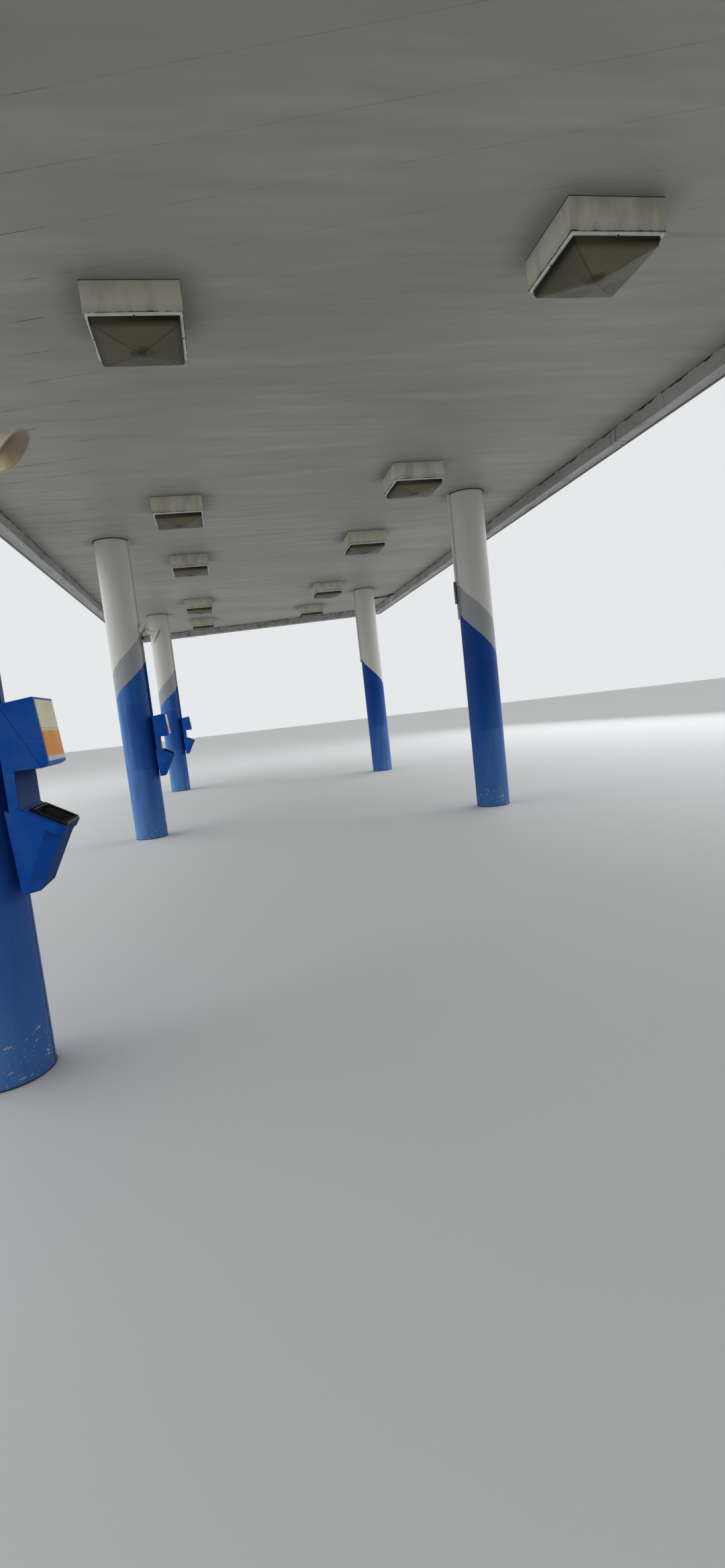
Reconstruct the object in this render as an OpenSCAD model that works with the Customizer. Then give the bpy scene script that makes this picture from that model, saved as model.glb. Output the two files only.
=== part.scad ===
// Filling station canopy: an open steel frame on two rows of round columns, with a flat
// deck of folded pans, a hung edge channel, deep fascia panels and surface box lights.
// Row frame: +X across the canopy, +Y along it, +Z up.
// Origin: on the ground, at the middle of the plan.
// The plan is a parallelogram: pairs, beams, pans and ends run at a skew to the long sides.
// Build: all nodes are drawn in place; set node to one name to draw that piece alone.
// Print orientation: not for printing, each piece is fabricated flat on its longest face.

/* [Layout] */
// height of the soffit above the ground
clear_height = 4420; // [3600:10:5400]
// distance across between the two rows of columns
row_gap = 5000; // [4000:10:7000]
// pans between one pair of columns and the next
pans_per_bay = 18; // [12:2:24]
// width covered by one pan, square to its length
pan_cover = 406.4; // [300:0.1:500]
// angle of the pair lines to a line square to the long sides
skew_deg = 15.5; // [0:0.5:20]
// overhang of the deck past a row of columns, to the edge channel
side_overhang = 1000; // [600:10:1400]

/* [Columns] */
// outside diameter of a column's cladding
column_d = 470; // [300:5:600]
// wall of a column
column_wall = 10; // [6:1:16]
// thickness of the plates at a column's foot and head
column_plate = 20; // [10:1:30]
// clearance around a column in the soffit
deck_hole_gap = 22; // [5:1:50]
// width of a cladding seam
seam_w = 6; // [3:1:10]
// depth of a cladding seam
seam_depth = 3; // [1:0.5:5]

/* [Beams] */
// depth of a main beam
beam_h = 400; // [250:10:500]
// width of a main beam's flange
beam_w = 180; // [120:5:250]
// thickness of a main beam's flange
beam_flange = 14; // [8:1:20]
// thickness of a main beam's web
beam_web = 9; // [6:1:14]
// distance from a main beam's end to the edge channel
beam_end_gap = 40; // [10:5:100]
// depth of a purlin
purlin_h = 200; // [120:10:300]
// width of a purlin's flange
purlin_w = 100; // [60:5:150]
// thickness of a purlin's flange
purlin_flange = 9; // [6:1:14]
// thickness of a purlin's web
purlin_web = 6; // [4:1:10]
// distance between purlins
purlin_gap = 1600; // [1200:50:2000]

/* [Deck] */
// thickness of the pans
pan_t = 3; // [1:0.5:5]
// height of the interlocking ribs
rib_h = 76; // [40:1:100]
// open width of the seam under a rib
seam_gap = 3; // [2:0.5:8]

// x where the torn pan's opening starts
torn_x = 2900; // [2700:10:3300]
// y where the torn pan's opening starts
torn_y = 8430; // [7800:10:9000]
// how far the opening's edge runs back by the side
torn_rise = 650; // [0:10:800]
// width of the opening by the side
torn_gap = 620; // [100:10:800]
// width of the opening at its inner end
torn_end = 340; // [50:10:600]

/* [Edge] */
// drop of the edge channel below the soffit
edge_drop = 153; // [80:1:250]
// width of the edge channel
edge_w = 160; // [80:1:250]
// thickness of the edge channel
edge_t = 3; // [2:0.5:5]
// height of the edge channel's walls above the soffit
edge_up = 60; // [20:1:76]
// length of one edge piece between splices
edge_piece = 3480; // [2400:10:4200]
// open joint at the edge channel's corners
corner_gap = 3; // [1.5:0.5:6]
// width of a splice line
splice_gap = 6; // [2:0.5:12]
// depth of a splice line
splice_deep = 1.5; // [0.5:0.5:2]
// place of one splice along the left side
splice_left = 2536; // [0:10:3480]
// place of one splice along the right side
splice_right = 600; // [0:10:3480]
// height of the fascia
fascia_h = 915; // [600:5:1200]
// thickness of the fascia
fascia_t = 25; // [10:1:40]
// width of a joint between fascia panels
joint_gap = 8; // [4:1:15]
// depth of a joint between fascia panels
joint_deep = 6; // [2:1:15]
// lip of the fascia below the edge channel
fascia_lip = 8; // [0:1:20]
// depth of the return at the fascia's top
fascia_return = 90; // [40:5:150]
// thickness of the return at the fascia's top
return_t = 4; // [2:0.5:8]
// size of a fascia bracket's square tube
bracket_w = 50; // [30:5:80]
// length of an end bracket's arm on its purlin
bracket_arm = 500; // [200:50:900]

/* [Lights] */
// side of a light's door frame
light_w = 600; // [450:5:750]
// depth of a light's housing
light_h = 189; // [100:1:250]
// how far the housing stands out past the door frame, each side
light_lip = 6; // [2:1:15]
// wall of a light's housing
light_t = 3; // [1:0.5:5]
// thickness of the door frame
door_h = 14; // [8:1:50]
// width of the door frame's border
door_w = 30; // [15:1:50]
// height of the lens skirt
lens_skirt = 45; // [10:1:80]
// drop of the lens from the door frame to its tip
lens_drop = 100; // [60:1:200]
// wall of the lens
lens_t = 4; // [2:0.5:8]
// distance of each light row from the middle
light_row = 1430; // [800:10:2000]
// distance of a light before its pair line
light_before = 1430; // [800:10:2400]
// distance of a light past its pair line
light_after = 1740; // [800:10:2400]

/* [Service unit] */
// width of a service unit
unit_w = 390; // [300:5:440]
// distance of the recess's back wall from the column's middle
spine_front = 314; // [290:2:340]
// height of a service unit's top above the ground
unit_top = 1850; // [1500:10:2000]
// height of the whole service unit
unit_h = 925; // [860:5:1100]
// fall of the unit's top towards the column
top_fall = 24; // [0:2:40]
// height of the head's front face
head_h = 322; // [260:2:330]
// distance of the head's upper front edge from the column's middle
head_top = 442; // [400:2:460]
// distance of the head's lower front edge from the column's middle
head_foot = 468; // [440:2:500]
// chamfer under the head's front
head_lip = 30; // [10:1:60]
// drop of the recess ceiling below the unit's top
recess_top = 337; // [332:1:420]
// width of the seam between the lid and the body
lid_seam_w = 5; // [2:0.5:8]
// depth of the seam between the lid and the body
lid_seam_deep = 3; // [1:0.5:6]
// drop of the shelf's back edge below the unit's top
shelf_drop = 512; // [460:2:560]
// length of the shelf along its slope
shelf_len = 228; // [224:2:260]
// thickness of the shelf's band
shelf_band = 46; // [20:2:60]
// how far the band stands out from the unit's sides
band_proud = 5; // [2:1:12]
// slope of the shelf and tub
tub_tilt = 31; // [20:1:36]
// chamfer of the band's corners
unit_chamfer = 24; // [5:1:40]
// chamfer of the hopper's corners under the band
hopper_cut = 70; // [30:1:80]
// chamfer of the hopper's corners at its foot
foot_cut = 55; // [30:1:70]
// distance of the hopper's foot from the column's middle
hopper_foot = 335; // [325:1:360]
// inset of the tub from the unit's sides
tub_inset = 62; // [58:1:80]
// length of the tub along the shelf
tub_len = 160; // [100:2:164]
// distance of the tub from the shelf's back edge
tub_back = 54; // [30:1:54]
// wall of the tub
tub_t = 4; // [2:0.5:8]
// depth of the tub
tub_depth = 90; // [50:5:95]
// width of the tub's rim
rim_w = 12; // [6:1:13]
// height of the tub's rim above the shelf
rim_h = 9; // [4:1:20]
// thickness of the poster insert
poster_t = 4; // [2:0.5:4.5]
// depth of the poster's frame
poster_deep = 7; // [5:1:12]
// border beside the poster
poster_side = 40; // [20:1:60]
// border above and below the poster
poster_border = 17; // [6:1:30]

/* [Cover strip] */
// width of the cover strip on a column's inward side
strip_w = 60; // [30:2:90]
// how far the cover strip stands out from the column
strip_out = 26; // [10:1:50]
// height of a right column's strip foot above the ground
strip_foot = 2700; // [1900:50:3600]

/* [Horn] */
// diameter of a horn's mouth
horn_d = 240; // [150:5:300]
// length of a horn's flare
horn_len = 190; // [120:5:300]
// length of a horn's driver
horn_driver = 80; // [40:2:120]
// width of a horn's driver
driver_w = 110; // [80:5:160]
// height of a horn's driver
driver_h = 124; // [80:2:160]
// distance of a horn's mouth from the column's face
horn_reach = 243; // [200:1:360]
// width of a horn's bracket
horn_foot = 56; // [30:2:80]
// wall of a horn
horn_t = 4; // [2:0.5:8]
// angle of the first horn below level
horn_tilt = 44; // [0:1:60]
// angle of the second horn below level
second_tilt = 29; // [0:1:60]
// height of a horn's mouth
horn_z = 3017; // [2400:1:3400]

/* [Junction box] */
// height of the junction box
box_h = 300; // [150:5:400]
// width of the junction box
box_w = 65; // [60:5:200]
// depth of the junction box
box_deep = 24; // [20:1:80]
// thickness of the junction box's lid
box_lid = 4; // [2:0.5:8]
// how far the lid stands out past the box
box_lip = 3; // [1:0.5:6]
// height of the junction box's foot above the ground
box_z = 2920; // [2400:10:3600]

/* [Node] */
// node to draw, or all

/* [Hidden] */
skew = tan(skew_deg);
skew_cos = cos(skew_deg);
pan_pitch = pan_cover / skew_cos;
bay = pans_per_bay * pan_pitch;
deck_len = 3 * bay;
half_len = deck_len / 2;
half_gap = row_gap / 2;
half_w = half_gap + side_overhang;
column_r = column_d / 2;
steel_z = clear_height + rib_h;
beam_top = steel_z + beam_h;
purlin_top = steel_z + purlin_h;
beam_half = half_w - beam_end_gap;
fascia_out = edge_w + fascia_t;
fascia_z = clear_height - edge_drop - fascia_lip;
fascia_top = fascia_z + fascia_h;
edge_z = clear_height - edge_drop;
edge_top = clear_height + edge_up;
unit_back = column_r + strip_out;
shelf_seat = 12;
unit_strip_foot = unit_top - unit_h + 2 * shelf_band;
eps = 1;
$fn = 96;

// y of a pair line at a given x
function pair_y(i, x) = (i - 2) * bay - skew * x;

// corner of the plan pushed out by d, and drawn back by g along the pair lines
function corner(sx, sy, d, g = 0) = [
    sx * (half_w + d - g),
    sy * (half_len + d / skew_cos) - skew * sx * (half_w + d - g)
];

// strip between two x, parallel to the pair lines, from a to b along y
module skewed(x0, x1, a, b, z0, z1) {
    translate([0, 0, z0])
        linear_extrude(z1 - z0)
            polygon([
                [x0, a - skew * x0], [x1, a - skew * x1],
                [x1, b - skew * x1], [x0, b - skew * x0]
            ]);
}

// one side of the edge in plan: side 0 left, 1 right, 2 near, 3 far
module side_strip(side, d0, d1, z0, z1, g = 0) {
    c = side == 0 ? [[-1, -1], [-1, 1]]
        : side == 1 ? [[1, 1], [1, -1]]
        : side == 2 ? [[1, -1], [-1, -1]]
        : [[-1, 1], [1, 1]];
    translate([0, 0, z0])
        linear_extrude(z1 - z0)
            polygon([
                corner(c[0][0], c[0][1], d0, g), corner(c[1][0], c[1][1], d0, g),
                corner(c[1][0], c[1][1], d1, g), corner(c[0][0], c[0][1], d1, g)
            ]);
}

// column

// cladding seam up to z1
module seam(z1) {
    translate([column_r - seam_depth, -seam_w / 2, column_plate])
        cube([seam_depth * 2, seam_w, z1 - column_plate]);
}

// inward is 1 when the other row lies towards +X; the strip hides the seam and the wires
module column(x, i, inward, foot) {
    color("#dcdcd8")
    translate([x, pair_y(i, x), 0])
    rotate([0, 0, inward > 0 ? 0 : 180])
    difference() {
        union() {
            cylinder(h = steel_z, d = column_d);
            translate([column_r - strip_out, -strip_w / 2, foot])
                cube([2 * strip_out, strip_w, clear_height - foot]);
        }
        translate([0, 0, column_plate])
            cylinder(h = steel_z - 2 * column_plate, d = column_d - 2 * column_wall);
        rotate([0, 0, 180])
            seam(clear_height);
        seam(foot - seam_w);
    }
}

// profile given as distance square to the pair lines and height, run along the skew and
// cut square to +X at both ends
module along_pairs(half) {
    run = half / skew_cos + half_len * skew;
    intersection() {
        rotate([0, 0, -skew_deg])
            translate([-run, 0, 0])
                rotate([90, 0, 90])
                    linear_extrude(2 * run)
                        children();
        translate([-half, -deck_len, 0])
            cube([2 * half, 2 * deck_len, fascia_top]);
    }
}

// outline of a rolled section standing on z
module rolled(at, z, h, w, flange, web) {
    polygon([
        [at - w / 2, z], [at + w / 2, z], [at + w / 2, z + flange], [at + web / 2, z + flange],
        [at + web / 2, z + h - flange], [at + w / 2, z + h - flange], [at + w / 2, z + h],
        [at - w / 2, z + h], [at - w / 2, z + h - flange], [at - web / 2, z + h - flange],
        [at - web / 2, z + flange], [at - w / 2, z + flange]
    ]);
}

// beams and purlins

module beam(i) {
    color("#8a8f94")
    along_pairs(beam_half)
        rolled((i - 2) * bay * skew_cos, steel_z, beam_h, beam_w, beam_flange, beam_web);
}

// purlin pieces framed between the beams, and out to the ends
module purlin(k) {
    x = (k - 3) * purlin_gap;
    fw = beam_w / 2 / skew_cos;
    starts = [-half_len, -bay + fw, fw, bay + fw];
    ends = [-bay - fw, -fw, bay - fw, half_len];
    color("#8a8f94")
    for (s = [0 : 3])
        intersection() {
            translate([0, half_len * 2, 0])
                rotate([90, 0, 0])
                    linear_extrude(half_len * 4)
                        rolled(x, steel_z, purlin_h, purlin_w, purlin_flange, purlin_web);
            skewed(x - purlin_w, x + purlin_w, starts[s], ends[s], steel_z - eps, purlin_top + eps);
        }
}

// deck: one folded section a bay long, ribs standing up at each seam

// opening at the far right corner where a pan's end has come away
module torn_pan() {
    translate([0, 0, clear_height - eps])
        linear_extrude(rib_h + 2 * eps)
            polygon([
                [torn_x, torn_y], [half_w + eps, torn_y - torn_rise],
                [half_w + eps, torn_y - torn_rise + torn_gap], [torn_x, torn_y + torn_end]
            ]);
}

function rib_down(p) = [
    [p - seam_gap / 2, clear_height], [p - seam_gap / 2, steel_z - pan_t],
    [p + seam_gap / 2, steel_z - pan_t], [p + seam_gap / 2, clear_height]
];

function rib_up(p) = [
    [p + seam_gap / 2 + pan_t, clear_height + pan_t], [p + seam_gap / 2 + pan_t, steel_z],
    [p - seam_gap / 2 - pan_t, steel_z], [p - seam_gap / 2 - pan_t, clear_height + pan_t]
];

// half a rib at the section's start (s = 1) or end (s = -1), lip first
function rib_end(p, s) = [
    [p, steel_z], [p, steel_z - pan_t], [p + s * seam_gap / 2, steel_z - pan_t],
    [p + s * seam_gap / 2, clear_height]
];

function rib_end_up(p, s) = [
    [p + s * (seam_gap / 2 + pan_t), clear_height + pan_t],
    [p + s * (seam_gap / 2 + pan_t), steel_z]
];

module deck_profile(p0, p1) {
    polygon(concat(
        rib_end(p0, 1),
        [for (k = [1 : pans_per_bay - 1]) each rib_down(p0 + k * pan_cover)],
        [for (k = [3 : -1 : 0]) rib_end(p1, -1)[k]],
        [rib_end_up(p1, -1)[1], rib_end_up(p1, -1)[0]],
        [for (k = [pans_per_bay - 1 : -1 : 1]) each rib_up(p0 + k * pan_cover)],
        rib_end_up(p0, 1)
    ));
}

module deck(i) {
    p0 = (i - 2.5) * pans_per_bay * pan_cover;
    color("#c9c9c4")
    difference() {
        along_pairs(half_w)
            deck_profile(p0, p0 + pans_per_bay * pan_cover);
        for (x = [-half_gap, half_gap])
            translate([x, pair_y(i, x), clear_height - eps])
                cylinder(h = rib_h + 2 * eps, r = column_r + deck_hole_gap);
        if (i == 3)
            torn_pan();
    }
}

// edge channel and fascia

// places of the splices along a side: y for the long sides, x for the ends
function splices(side) = side == 0 ? [for (n = [-4 : 2]) splice_left + n * edge_piece]
    : side == 1 ? [for (n = [-3 : 3]) splice_right + n * edge_piece]
    : [0];

// thin box across a side at each splice, from d0 to d1 and z0 to z1
module splice_cut(side, gap, d0, d1, z0, z1) {
    for (v = splices(side))
        if (side < 2)
            mirror([side == 0 ? 1 : 0, 0, 0])
                translate([half_w + d0, v - gap / 2, z0])
                    cube([d1 - d0, gap, z1 - z0]);
        else
            intersection() {
                side_strip(side, d0, d1, z0, z1);
                translate([v - gap / 2, -deck_len, z0])
                    cube([gap, 2 * deck_len, z1 - z0]);
            }
}

// one strip of the edge channel all round, in four lengths with open corners
module edge_strips(d0, d1, z0, z1) {
    color("#a9abaa")
    for (side = [0 : 3])
        difference() {
            side_strip(side, d0, d1, z0, z1, side < 2 ? 0 : corner_gap);
            splice_cut(side, splice_gap, -eps, edge_w + eps, edge_z - eps, edge_z + splice_deep);
            splice_cut(side, splice_gap, -eps, splice_deep, edge_z - eps, clear_height);
        }
}

module fascia(side) {
    color("#2a56a0")
    difference() {
        union() {
            side_strip(side, edge_w, fascia_out, fascia_z, fascia_top);
            side_strip(side, fascia_out - fascia_return, fascia_out, fascia_top - return_t, fascia_top);
        }
        splice_cut(side, joint_gap, fascia_out - joint_deep, fascia_out + eps, fascia_z - eps, fascia_top + eps);
    }
}

// bracket: an arm from the outer purlin and a post behind the fascia
module bracket(sx, y) {
    x0 = 2 * purlin_gap - purlin_w / 2;
    x1 = half_w + edge_w;
    b = bracket_w / 2;
    translate([0, y, 0]) mirror([sx > 0 ? 0 : 1, 0, 0]) {
        translate([x0, -b, purlin_top])
            cube([x1 - x0, bracket_w, bracket_w]);
        translate([x1 - bracket_w, -b, purlin_top])
            cube([bracket_w, bracket_w, fascia_top - return_t - purlin_top]);
    }
}

// the same at the ends: an arm along each purlin and a post cut to the skew
module end_bracket(sy, k) {
    x0 = (k - 3) * purlin_gap - bracket_w / 2;
    x1 = x0 + bracket_w;
    y1 = half_len + edge_w / skew_cos;
    y0 = half_len - bracket_arm;
    rotate([0, 0, sy > 0 ? 0 : 180]) {
        skewed(x0, x1, y0, y1, purlin_top, purlin_top + bracket_w);
        skewed(x0, x1, y1 - bracket_w, y1, purlin_top, fascia_top - return_t);
    }
}

module fascia_brackets() {
    color("#8a8f94") {
        for (sx = [-1, 1], n = [-3 : 2])
            bracket(sx, (n + 0.5) * edge_piece - skew * sx * half_w);
        for (sy = [-1, 1], k = [1 : 5])
            end_bracket(sy, k);
    }
}

// lights: one before and one after the pair line, square to the long sides

module light_places(sx, i) {
    x = sx * light_row;
    for (d = [-light_before, light_after])
        translate([x, pair_y(i, x) + d, clear_height])
            children();
}

module housing() {
    w = light_w + 2 * light_lip;
    v = light_w - 2 * light_t;
    difference() {
        translate([-w / 2, -w / 2, -light_h])
            cube([w, w, light_h]);
        translate([-v / 2, -v / 2, -light_h - eps])
            cube([v, v, light_h + eps - light_t]);
    }
}

module lights(sx, i) {
    color("#b3ab98")
    light_places(sx, i)
        housing();
}

module door() {
    difference() {
        translate([-light_w / 2, -light_w / 2, -light_h - door_h])
            cube([light_w, light_w, door_h]);
        translate([-light_w / 2 + door_w, -light_w / 2 + door_w, -light_h - door_h - eps])
            cube([light_w - 2 * door_w, light_w - 2 * door_w, door_h + 2 * eps]);
    }
}

module light_doors(sx) {
    color("#d8d6cc")
    for (i = [1 : 3])
        light_places(sx, i)
            door();
}

// square with sides w as a pyramid hanging down by h
module hanging_pyramid(w, h) {
    polyhedron(
        points = [[-w / 2, -w / 2, 0], [w / 2, -w / 2, 0], [w / 2, w / 2, 0], [-w / 2, w / 2, 0], [0, 0, -h]],
        faces = [[3, 2, 1, 0], [0, 1, 4], [1, 2, 4], [2, 3, 4], [3, 0, 4]]
    );
}

module lens_body(w, top, skirt, drop) {
    translate([-w / 2, -w / 2, -skirt])
        cube([w, w, skirt + top]);
    translate([0, 0, -skirt])
        hanging_pyramid(w, drop - skirt);
}

module lens() {
    w = light_w - 2 * door_w;
    translate([0, 0, -light_h - door_h])
    difference() {
        lens_body(w, door_h, lens_skirt, lens_drop);
        lens_body(w - 2 * lens_t, door_h + eps, lens_skirt - lens_t, lens_drop - lens_t);
    }
}

module lenses(sx) {
    color("#5d5a45")
    for (i = [1 : 3])
        light_places(sx, i)
            lens();
}

// service unit on the inward side of a left column; local x from the column's middle,
// z = 0 at the unit's top

module in_unit(i) {
    translate([-half_gap, pair_y(i, -half_gap), unit_top])
        children();
}

// side view as [x, z], given a width
module side_profile(w) {
    rotate([90, 0, 0])
        linear_extrude(w, center = true)
            children();
}

// square plan with the two front corners cut, from x0 to x1 and w wide
module cut_corners(x0, x1, w, c) {
    polygon([
        [x0, -w / 2], [x1 - c, -w / 2], [x1, -w / 2 + c],
        [x1, w / 2 - c], [x1 - c, w / 2], [x0, w / 2]
    ]);
}

// along the shelf's slope from its back edge
module on_shelf() {
    translate([spine_front - shelf_seat, 0, -shelf_drop])
        rotate([0, tub_tilt, 0])
            children();
}

// head, recess wall and the part of the back behind the shelf
module unit_body() {
    side_profile(unit_w)
        polygon([
            [unit_back, -top_fall], [head_top, 0], [head_foot, -head_h],
            [head_foot - head_lip, -recess_top], [spine_front, -recess_top],
            [spine_front, -shelf_drop - shelf_seat], [unit_back, -shelf_drop - shelf_seat]
        ]);
}

module unit_band() {
    on_shelf()
        translate([0, 0, -shelf_band])
            linear_extrude(shelf_band)
                cut_corners(0, shelf_len, unit_w + 2 * band_proud, unit_chamfer);
}

module unit_hopper() {
    t = shelf_band / 8;
    hull() {
        on_shelf()
            translate([0, 0, t - shelf_band])
                linear_extrude(t)
                    cut_corners((unit_back - spine_front + shelf_seat) / cos(tub_tilt),
                        shelf_len - t, unit_w, hopper_cut);
        translate([0, 0, -unit_h])
            linear_extrude(t)
                cut_corners(unit_back, hopper_foot, unit_w, foot_cut);
    }
}

// seam of the hinged lid, from the top's back edge to the head's lower front corner
module lid_seam() {
    for (s = [-1, 1])
        translate([0, s * unit_w / 2, 0])
            side_profile(2 * lid_seam_deep)
                polygon([
                    [unit_back + shelf_seat, eps], [unit_back + shelf_seat + lid_seam_w, eps],
                    [head_foot - head_lip + lid_seam_w, -recess_top - eps],
                    [head_foot - head_lip, -recess_top - eps]
                ]);
}

// space of the tub in the shelf, grown by g
module tub_block(g, z0, z1) {
    on_shelf()
        translate([tub_back - g, -unit_w / 2 + tub_inset - g, z0])
            cube([tub_len + 2 * g, unit_w - 2 * tub_inset + 2 * g, z1 - z0]);
}

// slab along the head's sloping front, t0 to t1 behind it
module front_slab(t0, t1) {
    len = norm([head_foot - head_top, head_h]);
    translate([head_top, 0, 0])
        rotate([0, -atan2(head_foot - head_top, head_h), 0])
            translate([-t1, -unit_w / 2 + poster_side, -len + poster_border])
                cube([t1 - t0, unit_w - 2 * poster_side, len - 2 * poster_border]);
}

module service_unit(i) {
    color("#1f4f9c")
    in_unit(i)
    difference() {
        union() {
            unit_body();
            unit_band();
            unit_hopper();
        }
        lid_seam();
        tub_block(0, -tub_depth, tub_depth);
        front_slab(-eps, poster_deep);
    }
}

module unit_tubs() {
    color("#151515")
    for (i = [1 : 3])
        in_unit(i)
        difference() {
            union() {
                tub_block(0, -tub_depth, rim_h);
                tub_block(rim_w, 0, rim_h);
            }
            tub_block(-tub_t, -tub_depth + tub_t, rim_h + eps);
        }
}

module unit_posters() {
    color("#e9dcb6")
    for (i = [1 : 3])
        in_unit(i)
            front_slab(poster_deep - poster_t, poster_deep);
}

// horn: flared mouth along its axis from the driver, on a bracket by the cover strip

module horn_shape() {
    r = horn_d / 2;
    n = horn_d / 4.4;
    t = horn_t;
    translate([-horn_driver, -driver_w / 2, -driver_h / 2])
        cube([horn_driver, driver_w, driver_h]);
    rotate([0, 90, 0])
    rotate_extrude()
        polygon([
            [0, -eps], [n * 0.5, -eps], [n * 0.5, horn_len * 0.06],
            [n * 0.58, horn_len * 0.3], [n * 0.8, horn_len * 0.54], [n * 1.18, horn_len * 0.76],
            [r * 0.86, horn_len * 0.92], [r, horn_len], [r, horn_len + t],
            [r * 0.86 - t, horn_len * 0.92 + t], [n * 1.18 - t, horn_len * 0.76 + t],
            [n * 0.8 - t, horn_len * 0.54 + t], [n * 0.58 - t, horn_len * 0.3 + t],
            [n * 0.5 - t, horn_len * 0.1], [0, horn_len * 0.1]
        ]);
}

module horn(i, tilt) {
    back = horn_len + horn_driver / 2;
    color("#d9d3c0")
    translate([-half_gap, pair_y(i, -half_gap), horn_z])
    difference() {
        union() {
            translate([column_r + horn_reach, 0, 0])
                rotate([0, tilt, 0])
                    translate([-horn_len, 0, 0])
                        horn_shape();
            translate([0, -horn_foot / 2, back * sin(tilt) - horn_foot / 6])
                cube([column_r + horn_reach - back * cos(tilt), horn_foot, horn_foot / 3]);
            translate([0, -horn_foot / 2, back * sin(tilt) - horn_foot])
                cube([column_r + strip_out + horn_t, horn_foot, 2 * horn_foot]);
        }
        translate([0, 0, -horn_d])
            cylinder(h = 3 * horn_d, r = column_r);
        translate([0, -strip_w / 2, -horn_d])
            cube([column_r + strip_out, strip_w, 3 * horn_d]);
    }
}

// flat box with a lid, on the cover strip of a right column
module junction_box(i) {
    color("#3a3c3e")
    translate([half_gap - column_r - strip_out, pair_y(i, half_gap), box_z])
    rotate([0, 0, 180]) {
        translate([0, -box_w / 2, 0])
            cube([box_deep - box_lid, box_w, box_h]);
        translate([box_deep - box_lid, -box_w / 2 - box_lip, -box_lip])
            cube([box_lid, box_w + 2 * box_lip, box_h + 2 * box_lip]);
    }
}

column(-half_gap, 1, 1, unit_strip_foot);  // column_left_1
column(-half_gap, 2, 1, unit_strip_foot);  // column_left_2
column(-half_gap, 3, 1, unit_strip_foot);  // column_left_3
column(half_gap, 1, -1, strip_foot);  // column_right_1
column(half_gap, 2, -1, strip_foot);  // column_right_2
column(half_gap, 3, -1, strip_foot);  // column_right_3
beam(1);  // beam_1
beam(2);  // beam_2
beam(3);  // beam_3
purlin(1);  // purlin_1
purlin(2);  // purlin_2
purlin(3);  // purlin_3
purlin(4);  // purlin_4
purlin(5);  // purlin_5
deck(1);  // deck_1
deck(2);  // deck_2
deck(3);  // deck_3
edge_strips(0, edge_t, edge_z + edge_t, edge_top);  // edge_inner_faces
edge_strips(0, edge_w, edge_z, edge_z + edge_t);  // edge_bottoms
edge_strips(edge_w - edge_t, edge_w, edge_z + edge_t, edge_top);  // edge_outer_lips
fascia(0);  // fascia_left
fascia(1);  // fascia_right
fascia(2);  // fascia_near
fascia(3);  // fascia_far
fascia_brackets();
lights(-1, 1);  // lights_left_1
lights(-1, 2);  // lights_left_2
lights(-1, 3);  // lights_left_3
lights(1, 1);  // lights_right_1
lights(1, 2);  // lights_right_2
lights(1, 3);  // lights_right_3
light_doors(-1);  // light_doors_left
light_doors(1);  // light_doors_right
lenses(-1);  // lenses_left
lenses(1);  // lenses_right
service_unit(1);  // service_unit_1
service_unit(2);  // service_unit_2
service_unit(3);  // service_unit_3
unit_tubs();
unit_posters();
horn(1, horn_tilt);  // horn_1
horn(2, second_tilt);  // horn_2
junction_box(2);
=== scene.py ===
"""Looks of the filling station canopy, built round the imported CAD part.

Each piece or group of like pieces has its own operator in the Canopy panel. All sizes are
metres in the part's frame: +X across the canopy, +Y along it, +Z up, ground at z = 0.
"""

import math

import bpy
from mathutils import Matrix, Vector


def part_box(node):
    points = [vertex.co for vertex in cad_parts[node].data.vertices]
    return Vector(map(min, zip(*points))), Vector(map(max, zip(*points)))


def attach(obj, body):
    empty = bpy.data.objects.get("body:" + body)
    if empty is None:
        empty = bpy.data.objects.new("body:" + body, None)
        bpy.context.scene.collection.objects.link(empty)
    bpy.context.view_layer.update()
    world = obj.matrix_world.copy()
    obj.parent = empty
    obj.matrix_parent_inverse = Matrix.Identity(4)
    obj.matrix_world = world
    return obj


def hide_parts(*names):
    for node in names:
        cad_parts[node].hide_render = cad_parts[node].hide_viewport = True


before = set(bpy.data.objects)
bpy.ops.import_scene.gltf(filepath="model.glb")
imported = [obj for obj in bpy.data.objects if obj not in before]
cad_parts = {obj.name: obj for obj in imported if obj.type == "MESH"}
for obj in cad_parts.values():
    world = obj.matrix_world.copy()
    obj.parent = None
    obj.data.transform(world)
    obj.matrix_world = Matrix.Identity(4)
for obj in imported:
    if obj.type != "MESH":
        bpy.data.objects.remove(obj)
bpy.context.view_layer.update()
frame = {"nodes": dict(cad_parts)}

bl_info = {
    "name": "Filling station canopy",
    "version": (1, 0, 0),
    "blender": (4, 5, 0),
    "location": "View3D > Sidebar > Canopy",
    "description": "Materials and small parts of an old filling station canopy",
    "category": "Object",
}


def box_middle(node):
    """Middle of a CAD node's box."""
    low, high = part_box(node)
    return (low + high) / 2


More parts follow.
